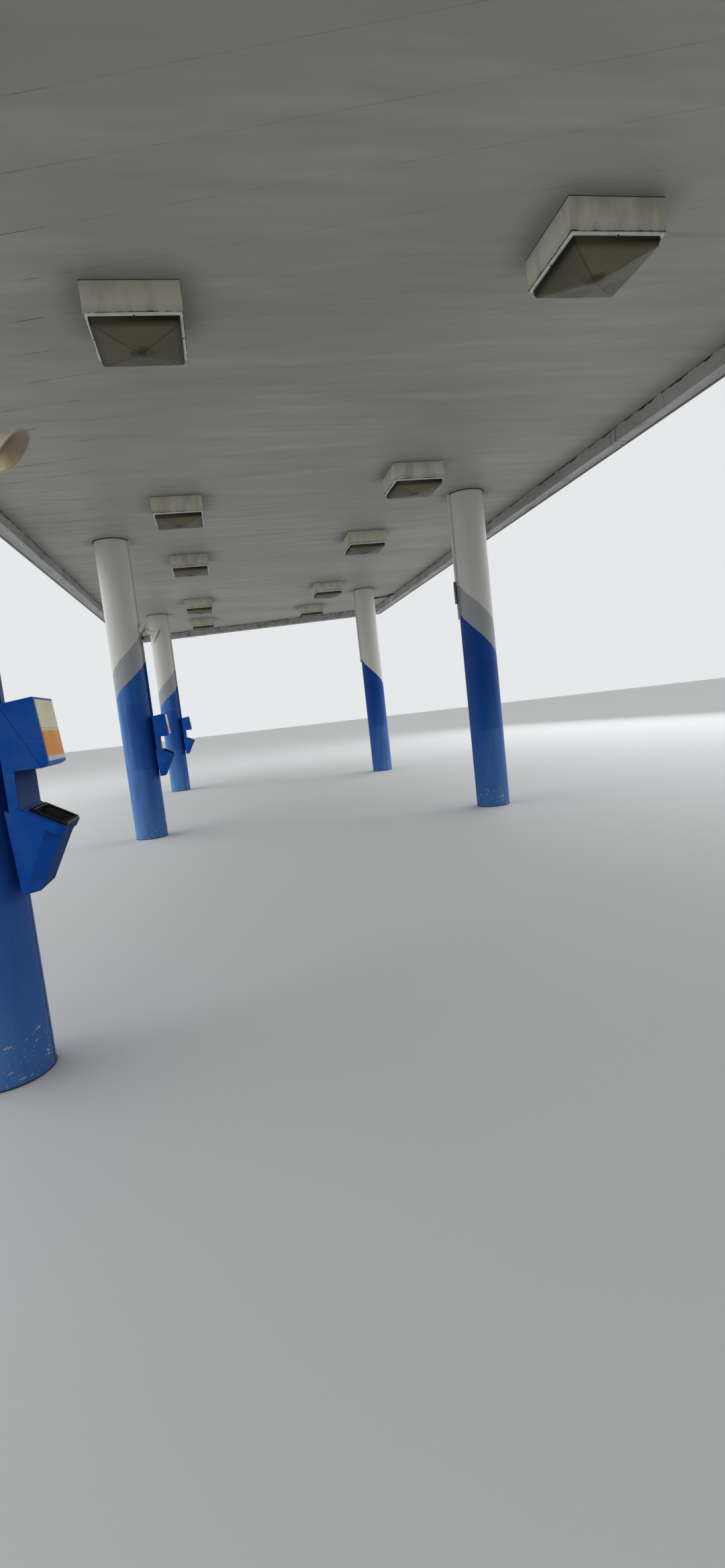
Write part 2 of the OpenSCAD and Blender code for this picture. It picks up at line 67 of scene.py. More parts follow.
ROOT = "root"
PAIRS = (1, 2, 3)
COLUMN_R = 0.235
STRIP_OUT = 0.026
HALF_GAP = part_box("column_right_2")[1].x - COLUMN_R
BAY = box_middle("column_left_2").y - box_middle("column_left_1").y
SKEW = (box_middle("column_left_2").y - box_middle("column_right_2").y) / (2 * HALF_GAP)
SKEW_ANGLE = math.atan(SKEW)
PAN = 0.4064
PAN_STEP = PAN / math.cos(SKEW_ANGLE)
PANS_IN_BAY = 18
LAST_JOINT = 26
TORN_JOINTS = (21, 22)
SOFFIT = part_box("deck_1")[0].z
RIB_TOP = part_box("deck_1")[1].z
HALF_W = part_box("deck_1")[1].x
EDGE_W = 0.16
EDGE_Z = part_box("edge_bottoms")[0].z
FASCIA_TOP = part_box("fascia_left")[1].z
FASCIA_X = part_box("fascia_right")[1].x
FASCIA_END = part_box("fascia_left")[1].y
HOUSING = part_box("lights_left_1")
HOUSING_W = HOUSING[1].x - HOUSING[0].x
HOUSING_Z = HOUSING[0].z
LIGHT_X = box_middle("lights_right_1").x
LIGHT_BEFORE = HOUSING[0].y + HOUSING_W / 2 + BAY - SKEW * LIGHT_X
LIGHT_AFTER = HOUSING[1].y - HOUSING_W / 2 + BAY - SKEW * LIGHT_X
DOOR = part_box("light_doors_left")
DOOR_HALF = (DOOR[1].x - DOOR[0].x) / 2
DOOR_Z = DOOR[0].z
LENS_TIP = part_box("lenses_left")[0].z
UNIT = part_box("service_unit_1")
UNIT_TOP = UNIT[1].z
UNIT_HALF = (UNIT[1].y - UNIT[0].y) / 2
UNIT_BODY = 0.195
SHELF_TILT = math.radians(31.0)
SHELF_X = 0.302
SHELF_DOWN = 0.512
HORN_REACH = 0.243
HORN_LEN = 0.19
HORN_R = 0.12
HORN_Z = 3.017
HORN_TILTS = {1: 44.0, 2: 29.0}


def linear(code):
    """sRGB hex colour as linear red, green, blue."""
    parts = [int(code[k:k + 2], 16) / 255 for k in (1, 3, 5)]
    return tuple(c / 12.92 if c <= 0.04045 else ((c + 0.055) / 1.055) ** 2.4 for c in parts)


def on_pair(pair, x, z=0.0, ahead=0.0):
    """Point at x on a pair's line across the canopy, or ahead of it; pairs count 1 to 3 along +Y."""
    return Vector((x, (pair - 2) * BAY - SKEW * x + ahead, z))


# Sizes and colours that a user would change


def colour(name, description, code):
    return bpy.props.FloatVectorProperty(
        name=name, description=description, subtype="COLOR", size=3, min=0, max=1,
        default=linear(code))


def length(name, description, default):
    return bpy.props.FloatProperty(
        name=name, description=description, subtype="DISTANCE", unit="LENGTH",
        min=0, precision=4, default=default)


class CanopyColours(bpy.types.PropertyGroup):
    column_white: colour("Column white", "Top band of the columns", "#cfcdc7")
    column_grey: colour("Column grey", "Middle band of the columns", "#9fa1a5")
    column_blue: colour("Column blue", "Lower band of the columns", "#0a4e9f")
    column_panel: colour("Panel blue", "Bare panel on the blue band", "#083c88")
    # painted shade: the soffit's off-white coating is given as a mid grey, darker than the column white, for
    # the shade under the canopy
    soffit: colour("Soffit", "Off-white coil coating of the pans", "#a09e98")
    soffit_dirt: colour("Soffit dirt", "Soot and dust on the pans", "#77756c")
    edge: colour("Edge channel", "Coating of the edge channel", "#a9aaa6")
    fascia: colour("Fascia blue", "Field of the fascia panels", "#164c9e")
    fascia_band: colour("Fascia band", "Pale band of the fascia panels", "#d8d9d5")
    housing: colour("Light housing", "Powder coat of the housings", "#cccaba")
    door: colour("Light door", "Powder coat of the door frames", "#eae8de")
    lens: colour("Lens", "Aged acrylic of the lenses", "#625d48")
    rust: colour("Rust", "Rust and brown stains", "#5b3a1f")
    unit: colour("Service unit", "Moulded plastic of the service units", "#0750ae")
    tub: colour("Tub", "Black plastic of the tubs", "#0e0e0e")
    card_top: colour("Card top", "Upper field of the poster card", "#e2dab6")
    card_foot: colour("Card foot", "Lower field of the poster card", "#e48e2a")
    horn: colour("Horn", "Cream enamel of the horns", "#f3ede0")
    box: colour("Junction box", "Black enamel of the junction box", "#2b2c2e")
    steel: colour("Steel", "Grey primer of the roof steel", "#8b8f93")
    rubber: colour("Rubber", "Black rubber of seals and gaskets", "#1d1d1c")
    zinc: colour("Zinc", "Zinc plating of screws and clips", "#a7aaab")


class CanopySizes(bpy.types.PropertyGroup):
    door_radius: length("Door radius", "Edge radius of a light's door frame", 0.002)
    housing_radius: length("Housing radius", "Edge radius of a light's housing", 0.002)
    unit_radius: length("Unit radius", "Edge radius of a service unit", 0.0045)
    tub_radius: length("Tub radius", "Edge radius of a tub's rim", 0.003)
    screw: length("Screw", "Radius of a door screw's head", 0.006)
    crease: length("Lens crease", "Half width of a rounded crease of a lens", 0.026)
    frame: length("Door frame", "Visible width of a light's door frame", 0.019)
    collar: length("Column collar", "Depth of the black collar under the soffit", 0.010)
    bolt: length("Bolt", "Width across the flats of a structural bolt", 0.030)
    bead: length("Bead", "Width of the paint-bridged joint between two pans", 0.003)
    cover: length("Splice cover", "Width of a splice cover on the edge channel", 0.09)


# Modelling


def pick(*pieces):
    """Leaves edit mode and deselects everything, then selects these pieces; the first is active."""
    if bpy.context.object and bpy.context.object.mode != "OBJECT":
        bpy.ops.object.mode_set(mode="OBJECT")
    bpy.ops.object.select_all(action="DESELECT")
    for piece in pieces:
        piece.select_set(True)
    bpy.context.view_layer.objects.active = pieces[0] if pieces else None


def choose(piece, test, kind="FACE"):
    """Enters edit mode with what passes test(middle, normal or run) selected; pick leaves it."""
    pick(piece)
    mesh = piece.data
    for group in (mesh.polygons, mesh.edges, mesh.vertices):
        group.foreach_set("select", [False] * len(group))
    if kind == "FACE":
        for face in mesh.polygons:
            face.select = test(face.center, face.normal)
    elif kind == "EDGE":
        for edge in mesh.edges:
            a, b = (mesh.vertices[v].co for v in edge.vertices)
            edge.select = test((a + b) / 2, b - a)
    else:
        for vertex in mesh.vertices:
            vertex.select = test(vertex.co, vertex.normal)
    bpy.ops.object.mode_set(mode="EDIT")
    bpy.ops.mesh.select_mode(type=kind)


def cut(piece, test):
    """Deletes the faces whose middle and normal pass test."""
    choose(piece, test)
    bpy.ops.mesh.delete(type="FACE")
    return piece


def outward(piece):
    """Turns all faces outwards."""
    choose(piece, lambda at, normal: True)
    bpy.ops.mesh.normals_make_consistent(inside=False)
    return piece


def primitive(kind, name, stretch=(1, 1, 1), at=(0, 0, 0), **settings):
    """A primitive, scaled and placed, with its place in its mesh."""
    pick()
    getattr(bpy.ops.mesh, "primitive_%s_add" % kind)(location=at, **settings)
    piece = bpy.context.object
    piece.name = piece.data.name = name
    piece.scale = stretch
    bpy.ops.object.transform_apply(location=True, rotation=True, scale=True)
    return piece


def block(name, sizes, at=(0, 0, 0)):
    """A block of three sizes round a point."""
    return primitive("cube", name, sizes, at, size=1)


def apply(piece, kind, **settings):
    """Adds a modifier with its settings and applies it."""
    pick(piece)
    modifier = piece.modifiers.new(kind.title(), kind)
    for key, value in settings.items():
        setattr(modifier, key, value)
    bpy.ops.object.modifier_apply(modifier=modifier.name)
    return piece


def rounded(piece, width, segments=2, angle=40.0):
    """Bevels the edges that turn by more than an angle."""
    return apply(piece, "BEVEL", width=width, segments=segments, limit_method="ANGLE",
                 angle_limit=math.radians(angle))


def bevelled(piece, test, offset, segments, **settings):
    """Rounds the edges whose middle and run pass test."""
    choose(piece, test, "EDGE")
    bpy.ops.mesh.bevel(offset=offset, segments=segments, affect="EDGES", **settings)
    return piece


def smooth(piece, angle=32.0):
    pick(piece)
    bpy.ops.object.shade_smooth_by_angle(angle=math.radians(angle))
    return piece


def merged(node, name):
    """Copy of a CAD node with its doubles merged and its flat faces joined."""
    piece = bpy.data.objects.new(name, frame["nodes"][node].data.copy())
    piece.data.name = name
    bpy.context.collection.objects.link(piece)
    pick(piece)
    bpy.ops.mesh.customdata_custom_splitnormals_clear()
    bpy.ops.object.mode_set(mode="EDIT")
    bpy.ops.mesh.select_all(action="SELECT")
    bpy.ops.mesh.remove_doubles(threshold=0.00005)
    bpy.ops.mesh.dissolve_limited(angle_limit=math.radians(0.6))
    return piece


def softened(node, name, radius, make, slot, segments=2):
    """Puts a finished copy with rounded edges in a CAD node's place."""
    piece = rounded(merged(node, name), radius, segments, 30)
    finished(smooth(piece), make, slot, node)


def hollowed(piece, rim):
    """Cuts a straight hole through a slab or disc that lies flat, leaving a rim."""
    choose(piece, lambda at, normal: abs(normal.z) > 0.9)
    bpy.ops.mesh.inset(thickness=rim)
    bpy.ops.mesh.delete(type="FACE")
    bpy.ops.mesh.select_mode(type="EDGE")
    bpy.ops.mesh.select_non_manifold()
    bpy.ops.mesh.bridge_edge_loops()
    return outward(piece)


def folded(piece, legs, thick, offset, soft, segments):
    """Leaves a block's legs, the faces that look down the named axes, and gives them a thickness."""
    cut(piece, lambda at, normal: min(getattr(normal, axis) for axis in legs) > -0.9)
    return rounded(apply(piece, "SOLIDIFY", thickness=thick, offset=offset), soft, segments)


def domed_head(name, radius, rise, segments=10, rings=6):
    """Head of a rivet or screw: the upper half of a flattened ball."""
    ball = primitive("uv_sphere", name, (1, 1, rise), segments=segments, ring_count=rings, radius=radius)
    return smooth(cut(ball, lambda at, normal: at.z < -0.0001), 60)


def bolt_head(name, width, height=0.012):
    """Hexagon head on the ground plane, pointing up, with a chamfered top."""
    head = primitive("cylinder", name, at=(0, 0, height / 2), radius=width / 2, depth=height, vertices=6)
    choose(head, lambda at, normal: normal.z > 0.9)
    bpy.ops.mesh.inset(thickness=width * 0.09)
    bpy.ops.transform.translate(value=(0, 0, height * 0.12))
    return head


def facing(direction, at):
    """Matrix that turns a part's +Z to a direction and moves it to a place."""
    return Matrix.Translation(at) @ Vector(direction).to_track_quat("Z", "Y").to_matrix().to_4x4()


def light_places():
    """Middles of the twelve lights on the soffit."""
    return [on_pair(pair, s * LIGHT_X, SOFFIT, d)
            for s in (-1, 1) for pair in PAIRS for d in (LIGHT_BEFORE, LIGHT_AFTER)]


FINISHES = {}


def coated(piece, make):
    """Gives a piece the material that a function makes, made once and shared."""
    if make not in FINISHES:
        FINISHES[make] = make(bpy.context.scene.canopy_colours)
    piece.data.materials.clear()
    piece.data.materials.append(FINISHES[make])


def paint(prefix, make):
    """Gives a finish to every CAD node whose name starts with prefix."""
    for name, node in frame["nodes"].items():
        if name.startswith(prefix):
            coated(node, make)


def finished(piece, make, slot, *nodes):
    """Gives a piece its finish and body and hides the CAD nodes it stands for; slot is not used."""
    coated(piece, make)
    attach(piece, ROOT)
    if nodes:
        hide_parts(*nodes)


def repeated(piece, places, name, make, slot, *nodes):
    """Copies of a piece at points or matrices, each with its own mesh, joined and finished."""
    pick()
    copies = []
    for place in places:
        copy = bpy.data.objects.new(name, piece.data.copy())
        copy.data.transform(place if isinstance(place, Matrix) else Matrix.Translation(place))
        bpy.context.collection.objects.link(copy)
        copies.append(copy)
    bpy.data.objects.remove(piece)
    pick(*copies)
    if len(copies) > 1:
        bpy.ops.object.join()
    copies[0].name = copies[0].data.name = name
    finished(copies[0], make, slot, *nodes)
    return copies[0]


# Materials


SIGNS = {"+": "ADD", "-": "SUBTRACT", "*": "MULTIPLY", "/": "DIVIDE", ">": "GREATER_THAN", "<": "LESS_THAN"}


def add_node(tree, kind, *values, **settings):
    """Adds a node with its settings and links. A sign or a kind in capitals is a Math operation.

    Values go to the inputs in order, or by name or number from a dict. A value is a number, a
    colour, a socket, a node, or a tuple of a kind and its own values, which adds that node first.
    """
    kind = SIGNS.get(kind, kind)
    if kind.isupper():
        settings = {"operation": kind.removeprefix("CLAMPED_"), "use_clamp": kind.startswith("CLAMPED_")}
        kind = "Math"
    node = tree.nodes.new("ShaderNode" + kind)
    for key, value in settings.items():
        setattr(node, key, value)
    named = bool(values) and isinstance(values[0], dict)
    for key, value in (values[0] if named else dict(enumerate(values))).items():
        if isinstance(value, tuple) and isinstance(value[0], str):
            value = add_node(tree, *value)
        if isinstance(value, bpy.types.Node):
            value = value.outputs[0]
        if isinstance(value, bpy.types.NodeSocket):
            tree.links.new(value, node.inputs[key])
        else:
            node.inputs[key].default_value = value
    return node


def new_material(name):
    """An empty material and its node tree."""
    material = bpy.data.materials.new(name)
    material.use_nodes = True
    material.node_tree.nodes.clear()
    return material, material.node_tree


def surface(material, under, coats, roughness, height=None, relief=0.0, **constants):
    """Ends a material: coats over a colour, with bump where a height in metres is given."""
    tree = material.node_tree
    inputs = {key.replace("_", " "): value for key, value in constants.items()}
    if height is not None:
        inputs["Normal"] = ("Bump", {"Height": height, "Distance": relief, "Strength": 1.0})
    inputs.update({"Base Color": layered(tree, under, *coats), "Roughness": roughness})
    add_node(tree, "OutputMaterial", ("BsdfPrincipled", inputs))
    return material


def rgba(value):
    """A socket as it is; a hex or linear colour as linear red, green, blue and alpha."""
    if isinstance(value, bpy.types.NodeSocket):
        return value
    return (*(linear(value) if isinstance(value, str) else value), 1.0)


def layered(tree, under, *coats):
    """Lays coats over a colour, each a mask, a colour and a strength where it isn't full."""
    for mask, over, *strength in coats:
        if strength:
            mask = ("*", mask, *strength)
        mix = add_node(tree, "Mix", {0: mask, 6: rgba(under), 7: rgba(over)}, data_type="RGBA")
        under = mix.outputs[2]
    return under


def turned(tree, angle=0.0, scale=(1, 1, 1)):
    """Object coordinates, turned about Z and scaled."""
    place = add_node(tree, "TexCoord").outputs["Object"]
    return add_node(tree, "Mapping", {"Vector": place, "Rotation": (0, 0, angle), "Scale": scale}).outputs[0]


def axes(tree, angle=0.0):
    """x, y and z in the part's frame, turned about Z."""
    return add_node(tree, "SeparateXYZ", turned(tree, angle)).outputs


def blotches(tree, size, low, high, detail=3.0, scale=(1, 1, 1), angle=0.0):
    """Patches of about a size in metres over the scale, 0 to 1 between two noise levels."""
    noise = ("TexNoise", {"Vector": turned(tree, angle, scale), "Scale": 1 / size, "Detail": detail,
                          "Roughness": 0.55})
    return add_node(tree, "MapRange", noise, low, high, interpolation_type="SMOOTHSTEP").outputs[0]


def distance(a, b):
    """Length of a step of a across and b along, as nested values for add_node."""
    return ("SQRT", ("+", ("POWER", a, 2), ("POWER", b, 2)))


def off_light(tree, x, y):
    """How far a point is from the middle of the nearest light, across and along the canopy."""
    row_y = add_node(tree, "+", y, ("*", ("SIGN", x), SKEW * LIGHT_X))
    before, after = (("PINGPONG", ("-", row_y, d), BAY / 2) for d in (LIGHT_BEFORE, LIGHT_AFTER))
    across = add_node(tree, "ABSOLUTE", ("-", ("ABSOLUTE", x), LIGHT_X))
    return across, add_node(tree, "MINIMUM", before, after)


def column_enamel(c):
    """Alkyd enamel over primer on sheet-steel cladding, brushed and rolled on site.

    Low semi-gloss with upright roller marks, chalked by rain and sun, chipped to primer at the foot. The blue
    band carries painted light on its outward side, and painted shade on its inward side and, on the right
    row, towards its top.
    """
    material, tree = new_material("Column enamel")
    x, y, z = axes(tree)
    side = add_node(tree, "SIGN", x)
    right = add_node(tree, ">", x, 0.0)
    dx = add_node(tree, "-", x, ("*", side, HALF_GAP))
    dy = add_node(tree, "WRAP", ("+", y, ("*", side, SKEW * HALF_GAP)), -BAY / 2, BAY / 2)
    radius = add_node(tree, *distance(dx, dy))
    proud = (">", radius, COLUMN_R + 0.002)
    # angle from the inward direction, negative on the near side, and turn, in degrees either way
    angle = add_node(tree, "ARCTAN2", dy, ("*", dx, ("*", side, -1)))
    turn = add_node(tree, "DEGREES", ("ABSOLUTE", angle))

    def by_row(on_left, on_right):
        """One value on the left row's columns and another on the right row's."""
        return ("MULTIPLY_ADD", side, (on_right - on_left) / 2, (on_right + on_left) / 2)

    # ragged lower edges of the white and grey bands, which fall from the inward side round the back
    ragged = add_node(tree, "TexNoise", {"Vector": turned(tree), "Scale": 9.0, "Detail": 4.0})
    level = add_node(tree, "+", z, ("*", ("-", ragged, 0.5), 0.05))
    white_on, grey_on = (
        ("CLAMPED_MULTIPLY", ("-", level, ("-", height, ("*", turn, fall))), 160)
        for height, fall in ((by_row(3.08, 3.199), by_row(0.0037, 0.00398)),
                             (by_row(2.65, 2.792), by_row(0.0033, 0.00425))))
    # the last column of the right row has no grey band: its white meets the blue
    ungreyed = ("*", right, (">", y, BAY * 0.6))
    middle = layered(tree, c.column_grey, (ungreyed, c.column_white))
    # darker panel on the near side of the blue band
    across = ("-", 0.69, ("ABSOLUTE", ("+", angle, by_row(1.29, 1.45))))
    upright = ("-", 0.49, ("ABSOLUTE", ("-", z, by_row(1.54, 1.605))))
    panel = ("CLAMPED_MULTIPLY", ("MINIMUM", ("*", across, COLUMN_R), upright), 250)
    # chalk, more where rain splashes up; the paler foot is partly painted light bounced up from the ground
    fade = blotches(tree, 0.35, 0.3, 0.72, scale=(3, 3, 0.5))
    chalk = ("*", ("+", fade, ("*", ("MapRange", z, 1.3, 0.1), 3.0)), 0.1)
    # painted light on the outward side, mixed with chalk in patches
    chalked_and_lit = ("*", ("MapRange", turn, 60.0, 160.0, 0.0, 0.5), ("MULTIPLY_ADD", fade, 0.5, 0.5))
    # painted shade on the inward side, which faces the canopy's dark middle
    painted_inward_shade = ("MapRange", turn, 65.0, 15.0, 0.0, 0.45)
    # painted shade: the right row's blue darkens towards the top of its band, in the panel's blue
    deep = ("*", right, ("MapRange", z, 1.0, 2.0, 0.15, 0.85))
    # dirt in streaks that run down, more at the foot, and in the cladding's upright joints
    streaks = blotches(tree, 0.5, 0.48, 0.75, 5.0, (14, 14, 0.6))
    dirty = ("*", ("MULTIPLY_ADD", ("MapRange", z, 0.5, 0.0), 0.3, 0.07), streaks)
    seam = ("CLAMPED_MULTIPLY", ("-", 0.011, ("ABSOLUTE", dy)), 160)
    joint = ("*", seam, ("<", radius, COLUMN_R + 0.002))
    # chips to primer, mostly in the lowest 0.35 m
    fine = blotches(tree, 0.011, 0.66, 0.69, scale=(1, 1, 1.5))
    coarse = blotches(tree, 0.05, 0.63, 0.66, 6.0, (1, 1, 2))
    near_foot = (">", ("MapRange", z, 0.42, 0.02), ("*", ragged, 0.9))
    chips = ("*", ("MAXIMUM", fine, ("*", coarse, 0.7)), near_foot)
    coats = ((chalk, "#6f9cd0"), (chalked_and_lit, "#86b0da"), (deep, c.column_panel), (painted_inward_shade, "#052c6c"),
             (panel, c.column_panel, 0.35), (("*", right, proud), c.column_grey), (grey_on, middle),
             (white_on, c.column_white), (dirty, "#4a4842"), (joint, "#12203c", 0.8), (chips, "#b9bcbc"),
             (("<", z, 0.006), "#26262a"))
    rough = ("MULTIPLY_ADD", ("+", streaks, fade), 0.12, 0.42)
    # roller marks 11 mm wide, coarser than the real ones so that they show
    roller = ("TexNoise", {"Vector": turned(tree, scale=(1, 1, 0.25)), "Scale": 90.0, "Detail": 2.0})
    return surface(material, c.column_blue, coats, rough, roller, 0.0006, Specular_IOR_Level=0.1)


def soffit_coat(c):
    """Coil-coated polyester on roll-formed steel pans: satin, slightly oil-canned.

    Exhaust dirt lies along the pans, at their seams and round the lights and columns. The deck's upper side
    is painted shade.
    """
    material, tree = new_material("Coil-coated soffit")
    x, y, z = axes(tree)
    over = axes(tree, SKEW_ANGLE)[1]
    pan = ("FLOOR", ("/", over, PAN))
    tone = add_node(tree, "TexWhiteNoise", {"W": pan}, noise_dimensions="1D").outputs[0]
    # joints: a hairline of dirt, black only in short runs, mostly by the left side
    runs = blotches(tree, 0.5, 0.5, 0.56, 2.0, (0.9, 9, 1), SKEW_ANGLE)
    leftward = ("MapRange", x, -1.6, -3.2, 0.05, 1.0)
    joint = ("MapRange", ("PINGPONG", over, PAN / 2), 0.002, 0.0055, 1.0, 0.0)
    seam = ("CLAMPED_MULTIPLY", joint, ("MULTIPLY_ADD", ("*", runs, leftward), 2.0, 0.09))
    streaks = blotches(tree, 0.45, 0.3, 0.75, 5.0, (0.32, 2.6, 1), SKEW_ANGLE)
    clouds = blotches(tree, 1.6, 0.3, 0.7, 3.0, (0.5, 1, 1), SKEW_ANGLE)
    # pale wisps where the dirt was wiped or washed off
    wisps = blotches(tree, 0.8, 0.54, 0.76, 5.0, (0.3, 1.9, 1), SKEW_ANGLE)
    # dirt round the lights' housings and the columns, which both repeat with the bay
    light = distance(*(("MAXIMUM", ("-", d, HOUSING_W / 2), 0) for d in off_light(tree, x, y)))
    row_y = ("+", y, ("*", ("SIGN", x), SKEW * HALF_GAP))
    column = distance(("-", ("ABSOLUTE", x), HALF_GAP), ("PINGPONG", row_y, BAY / 2))
    gap = ("MINIMUM", light, ("-", column, 0.25))
    halo = add_node(tree, "MapRange", gap, 0.0, 0.3, 1.0, 0.0, interpolation_type="SMOOTHERSTEP")
    by_edge = ("*", ("MapRange", ("ABSOLUTE", x), HALF_W - 0.9, HALF_W), streaks)
    dirt = add_node(tree, "CLAMPED_ADD", ("+", ("*", streaks, 0.13), ("*", clouds, 0.24)),
                    ("+", ("*", ("*", halo, halo), 0.4), ("*", by_edge, 0.16)))
    # painted shade: above the soffit face the deck's upper side is a darker grey, as if shaded by a roof deck
    coats = ((tone, "#a0a19c", 0.22), (wisps, "#c4c4bd", 0.3), (dirt, c.soffit_dirt), (seam, "#2e2c28"),
             ((">", z, SOFFIT + 0.0025), "#6d6f6e"))
    rough = ("MULTIPLY_ADD", dirt, 0.3, 0.42)
    wave = ("TexNoise", {"Vector": turned(tree, SKEW_ANGLE, (0.4, 2.4, 1)), "Scale": 1.6, "Detail": 1.5,
                         "Distortion": 0.6})
    return surface(material, c.soffit, coats, rough, wave, 0.035, Specular_IOR_Level=0.2)


def edge_coat(c):
    """Coil-coated polyester on folded steel channel: chalked, with water stains along the gutter."""
    material, tree = new_material("Coil-coated edge channel")
    z = axes(tree)[2]
    stains = blotches(tree, 0.22, 0.52, 0.68, 5.0, (1, 0.5, 1))
    streaks = blotches(tree, 0.6, 0.35, 0.75, 4.0, (6, 0.35, 6))
    drips = blotches(tree, 0.5, 0.5, 0.72, 4.0, (8, 8, 0.8))
    # open joint along the soffit, ragged with old sealant
    torn = blotches(tree, 0.16, 0.25, 0.75, 6.0, (1, 1, 0.2))
    joint = (">", z, ("MULTIPLY_ADD", torn, -0.03, SOFFIT + 0.004))
    coats = ((streaks, "#83827d", 0.5), (stains, "#5d5b55", 0.55), (drips, "#6d6a62", 0.35),
             (joint, "#262520"))
    rough = ("MULTIPLY_ADD", streaks, 0.2, 0.45)
    return surface(material, c.edge, coats, rough, streaks, 0.002, Specular_IOR_Level=0.25)


def fascia_skin(c):
    """Baked enamel on aluminium composite panels: semi-gloss, faintly wavy, washed by rain."""
    material, tree = new_material("Baked-enamel fascia")
    x, y, z = axes(tree)
    band = ("CLAMPED_MULTIPLY", ("-", 0.105, ("ABSOLUTE", ("-", z, EDGE_Z + 0.31))), 900)
    # backs of the panels: bare grey, more than a skin's depth inside the outer faces
    skin = 0.012
    out_x = (">", ("ABSOLUTE", x), FASCIA_X - skin)
    out_y = (">", ("ABSOLUTE", ("+", y, ("*", x, SKEW))), FASCIA_END - SKEW * FASCIA_X - skin)
    back = ("<", ("MAXIMUM", out_x, out_y), 0.5)
    lip = ("<", z, EDGE_Z + skin)
    chalk = blotches(tree, 0.8, 0.3, 0.8, scale=(1, 1, 0.4))
    runs = blotches(tree, 0.5, 0.52, 0.75, 5.0, (9, 9, 0.5))
    coats = ((band, c.fascia_band), (back, "#7d8083"), (lip, "#2c2e30"), (chalk, "#aab2bf", 0.14),
             (runs, "#55534c", 0.28))
    wave = ("TexNoise", {"Vector": turned(tree), "Scale": 2.5, "Detail": 1.0})
    return surface(material, c.fascia, coats, ("MULTIPLY_ADD", chalk, 0.2, 0.3), wave, 0.006)


def primed_steel(c):
    """Red-oxide and grey shop primer on hot-rolled sections: dull, dusty, rusting at its edges."""
    material, tree = new_material("Primed steel")
    dust = blotches(tree, 0.5, 0.35, 0.7)
    rust = blotches(tree, 0.09, 0.62, 0.7, 6.0)
    coats = ((dust, "#a39d90", 0.35), (rust, c.rust, 0.7))
    # scale of 6 mm, coarser than the real one so that it shows
    grain = ("TexNoise", {"Vector": turned(tree), "Scale": 160.0, "Detail": 3.0})
    return surface(material, c.steel, coats, ("MULTIPLY_ADD", dust, 0.25, 0.55), grain, 0.0005)


def housing_coat(c):
    """Beige-grey powder coat on a sheet-steel box: fine orange peel, dust on its lower edges."""
    material, tree = new_material("Powder-coated housing")
    z = axes(tree)[2]
    smears = blotches(tree, 0.3, 0.4, 0.7, 5.0, (3, 3, 1))
    low = ("MapRange", z, HOUSING_Z, HOUSING_Z + 0.05, 1.0, 0.0)
    dirt = ("CLAMPED_ADD", ("*", smears, 0.3), ("*", low, 0.25))
    # painted shadow: a ragged dark line along the housing's lowest edge, where it meets the door frame
    gap = ("<", z, ("MULTIPLY_ADD", smears, 0.005, HOUSING_Z))
    coats = ((dirt, "#6b6558"), (gap, "#2a2822"))
    # orange peel of 4 mm, coarser than the real one so that it shows
    peel = ("TexNoise", {"Vector": turned(tree), "Scale": 260.0, "Detail": 2.0})
    rough = ("MULTIPLY_ADD", smears, 0.2, 0.4)
    return surface(material, c.housing, coats, rough, peel, 0.0004, Specular_IOR_Level=0.25)


def door_coat(c):
    """Off-white powder coat on an extruded aluminium frame, mitred at its corners: smooth, satin."""
    material, tree = new_material("Powder-coated door frame")
    x, y = axes(tree)[:2]
    # dark open mitre, 1.6 mm wide, at each corner
    from_corner = ("ABSOLUTE", ("-", *off_light(tree, x, y)))
    mitre = ("CLAMPED_MULTIPLY", ("-", 0.0011, from_corner), 2500)
    smears = blotches(tree, 0.2, 0.45, 0.75, 4.0, (2, 2, 1))
    coats = ((smears, "#8f8a7a", 0.35), (mitre, "#1c1b18"))
    peel = ("TexNoise", {"Vector": turned(tree), "Scale": 300.0, "Detail": 1.0})
    rough = ("MULTIPLY_ADD", smears, 0.2, 0.35)
    return surface(material, c.door, coats, rough, peel, 0.0003, Specular_IOR_Level=0.25)


def lens_acrylic(c):
    """Vacuum-formed acrylic, aged and full of dust: dulled, olive brown, browner at the tip."""
    material, tree = new_material("Aged acrylic lens")
    x, y = axes(tree)[:2]
    away, near = off_light(tree, x, y)
    stain = ("+", distance(away, near), ("*", blotches(tree, 0.05, 0.3, 0.7), 0.05))
    # painted shade along the rim, where the frame's recess shades the skirt; dirt in the creases that run
    # from the corners to the tip
    soft = {"interpolation_type": "SMOOTHSTEP"}
    tip = add_node(tree, "MapRange", stain, 0.13, 0.04, 0.0, 1.0, **soft)
    rim = add_node(tree, "MapRange", ("MAXIMUM", away, near), 0.23, DOOR_HALF - 0.02, **soft)
    diagonal = ("ABSOLUTE", ("-", away, near))
    crease = add_node(tree, "MapRange", diagonal, 0.022, 0.0, 0.0, 0.5, **soft)
    # painted shade on the slopes, chosen by their normals: darker than the rim, the far one most
    normal = add_node(tree, "NewGeometry").outputs["Normal"]
    across, slope = add_node(tree, "SeparateXYZ", normal).outputs[:2]
    beside = ("CLAMPED_MULTIPLY", ("-", ("ABSOLUTE", across), 0.08), 2.2)
    far = ("MapRange", slope, 0.08, 0.2, 0.0, 0.4)
    haze = blotches(tree, 0.2, 0.3, 0.75, 4.0, (1, 1, 0.5))
    coats = ((haze, "#777154", 0.4), (beside, "#2e2d24"), (far, "#32312a"), (rim, "#26261c", 0.55),
             (crease, "#231d12"), (tip, "#38200f", 0.85))
    rough = ("MULTIPLY_ADD", haze, 0.2, 0.36)
    return surface(material, c.lens, coats, rough, haze, 0.001, IOR=1.49, Specular_IOR_Level=0.1)


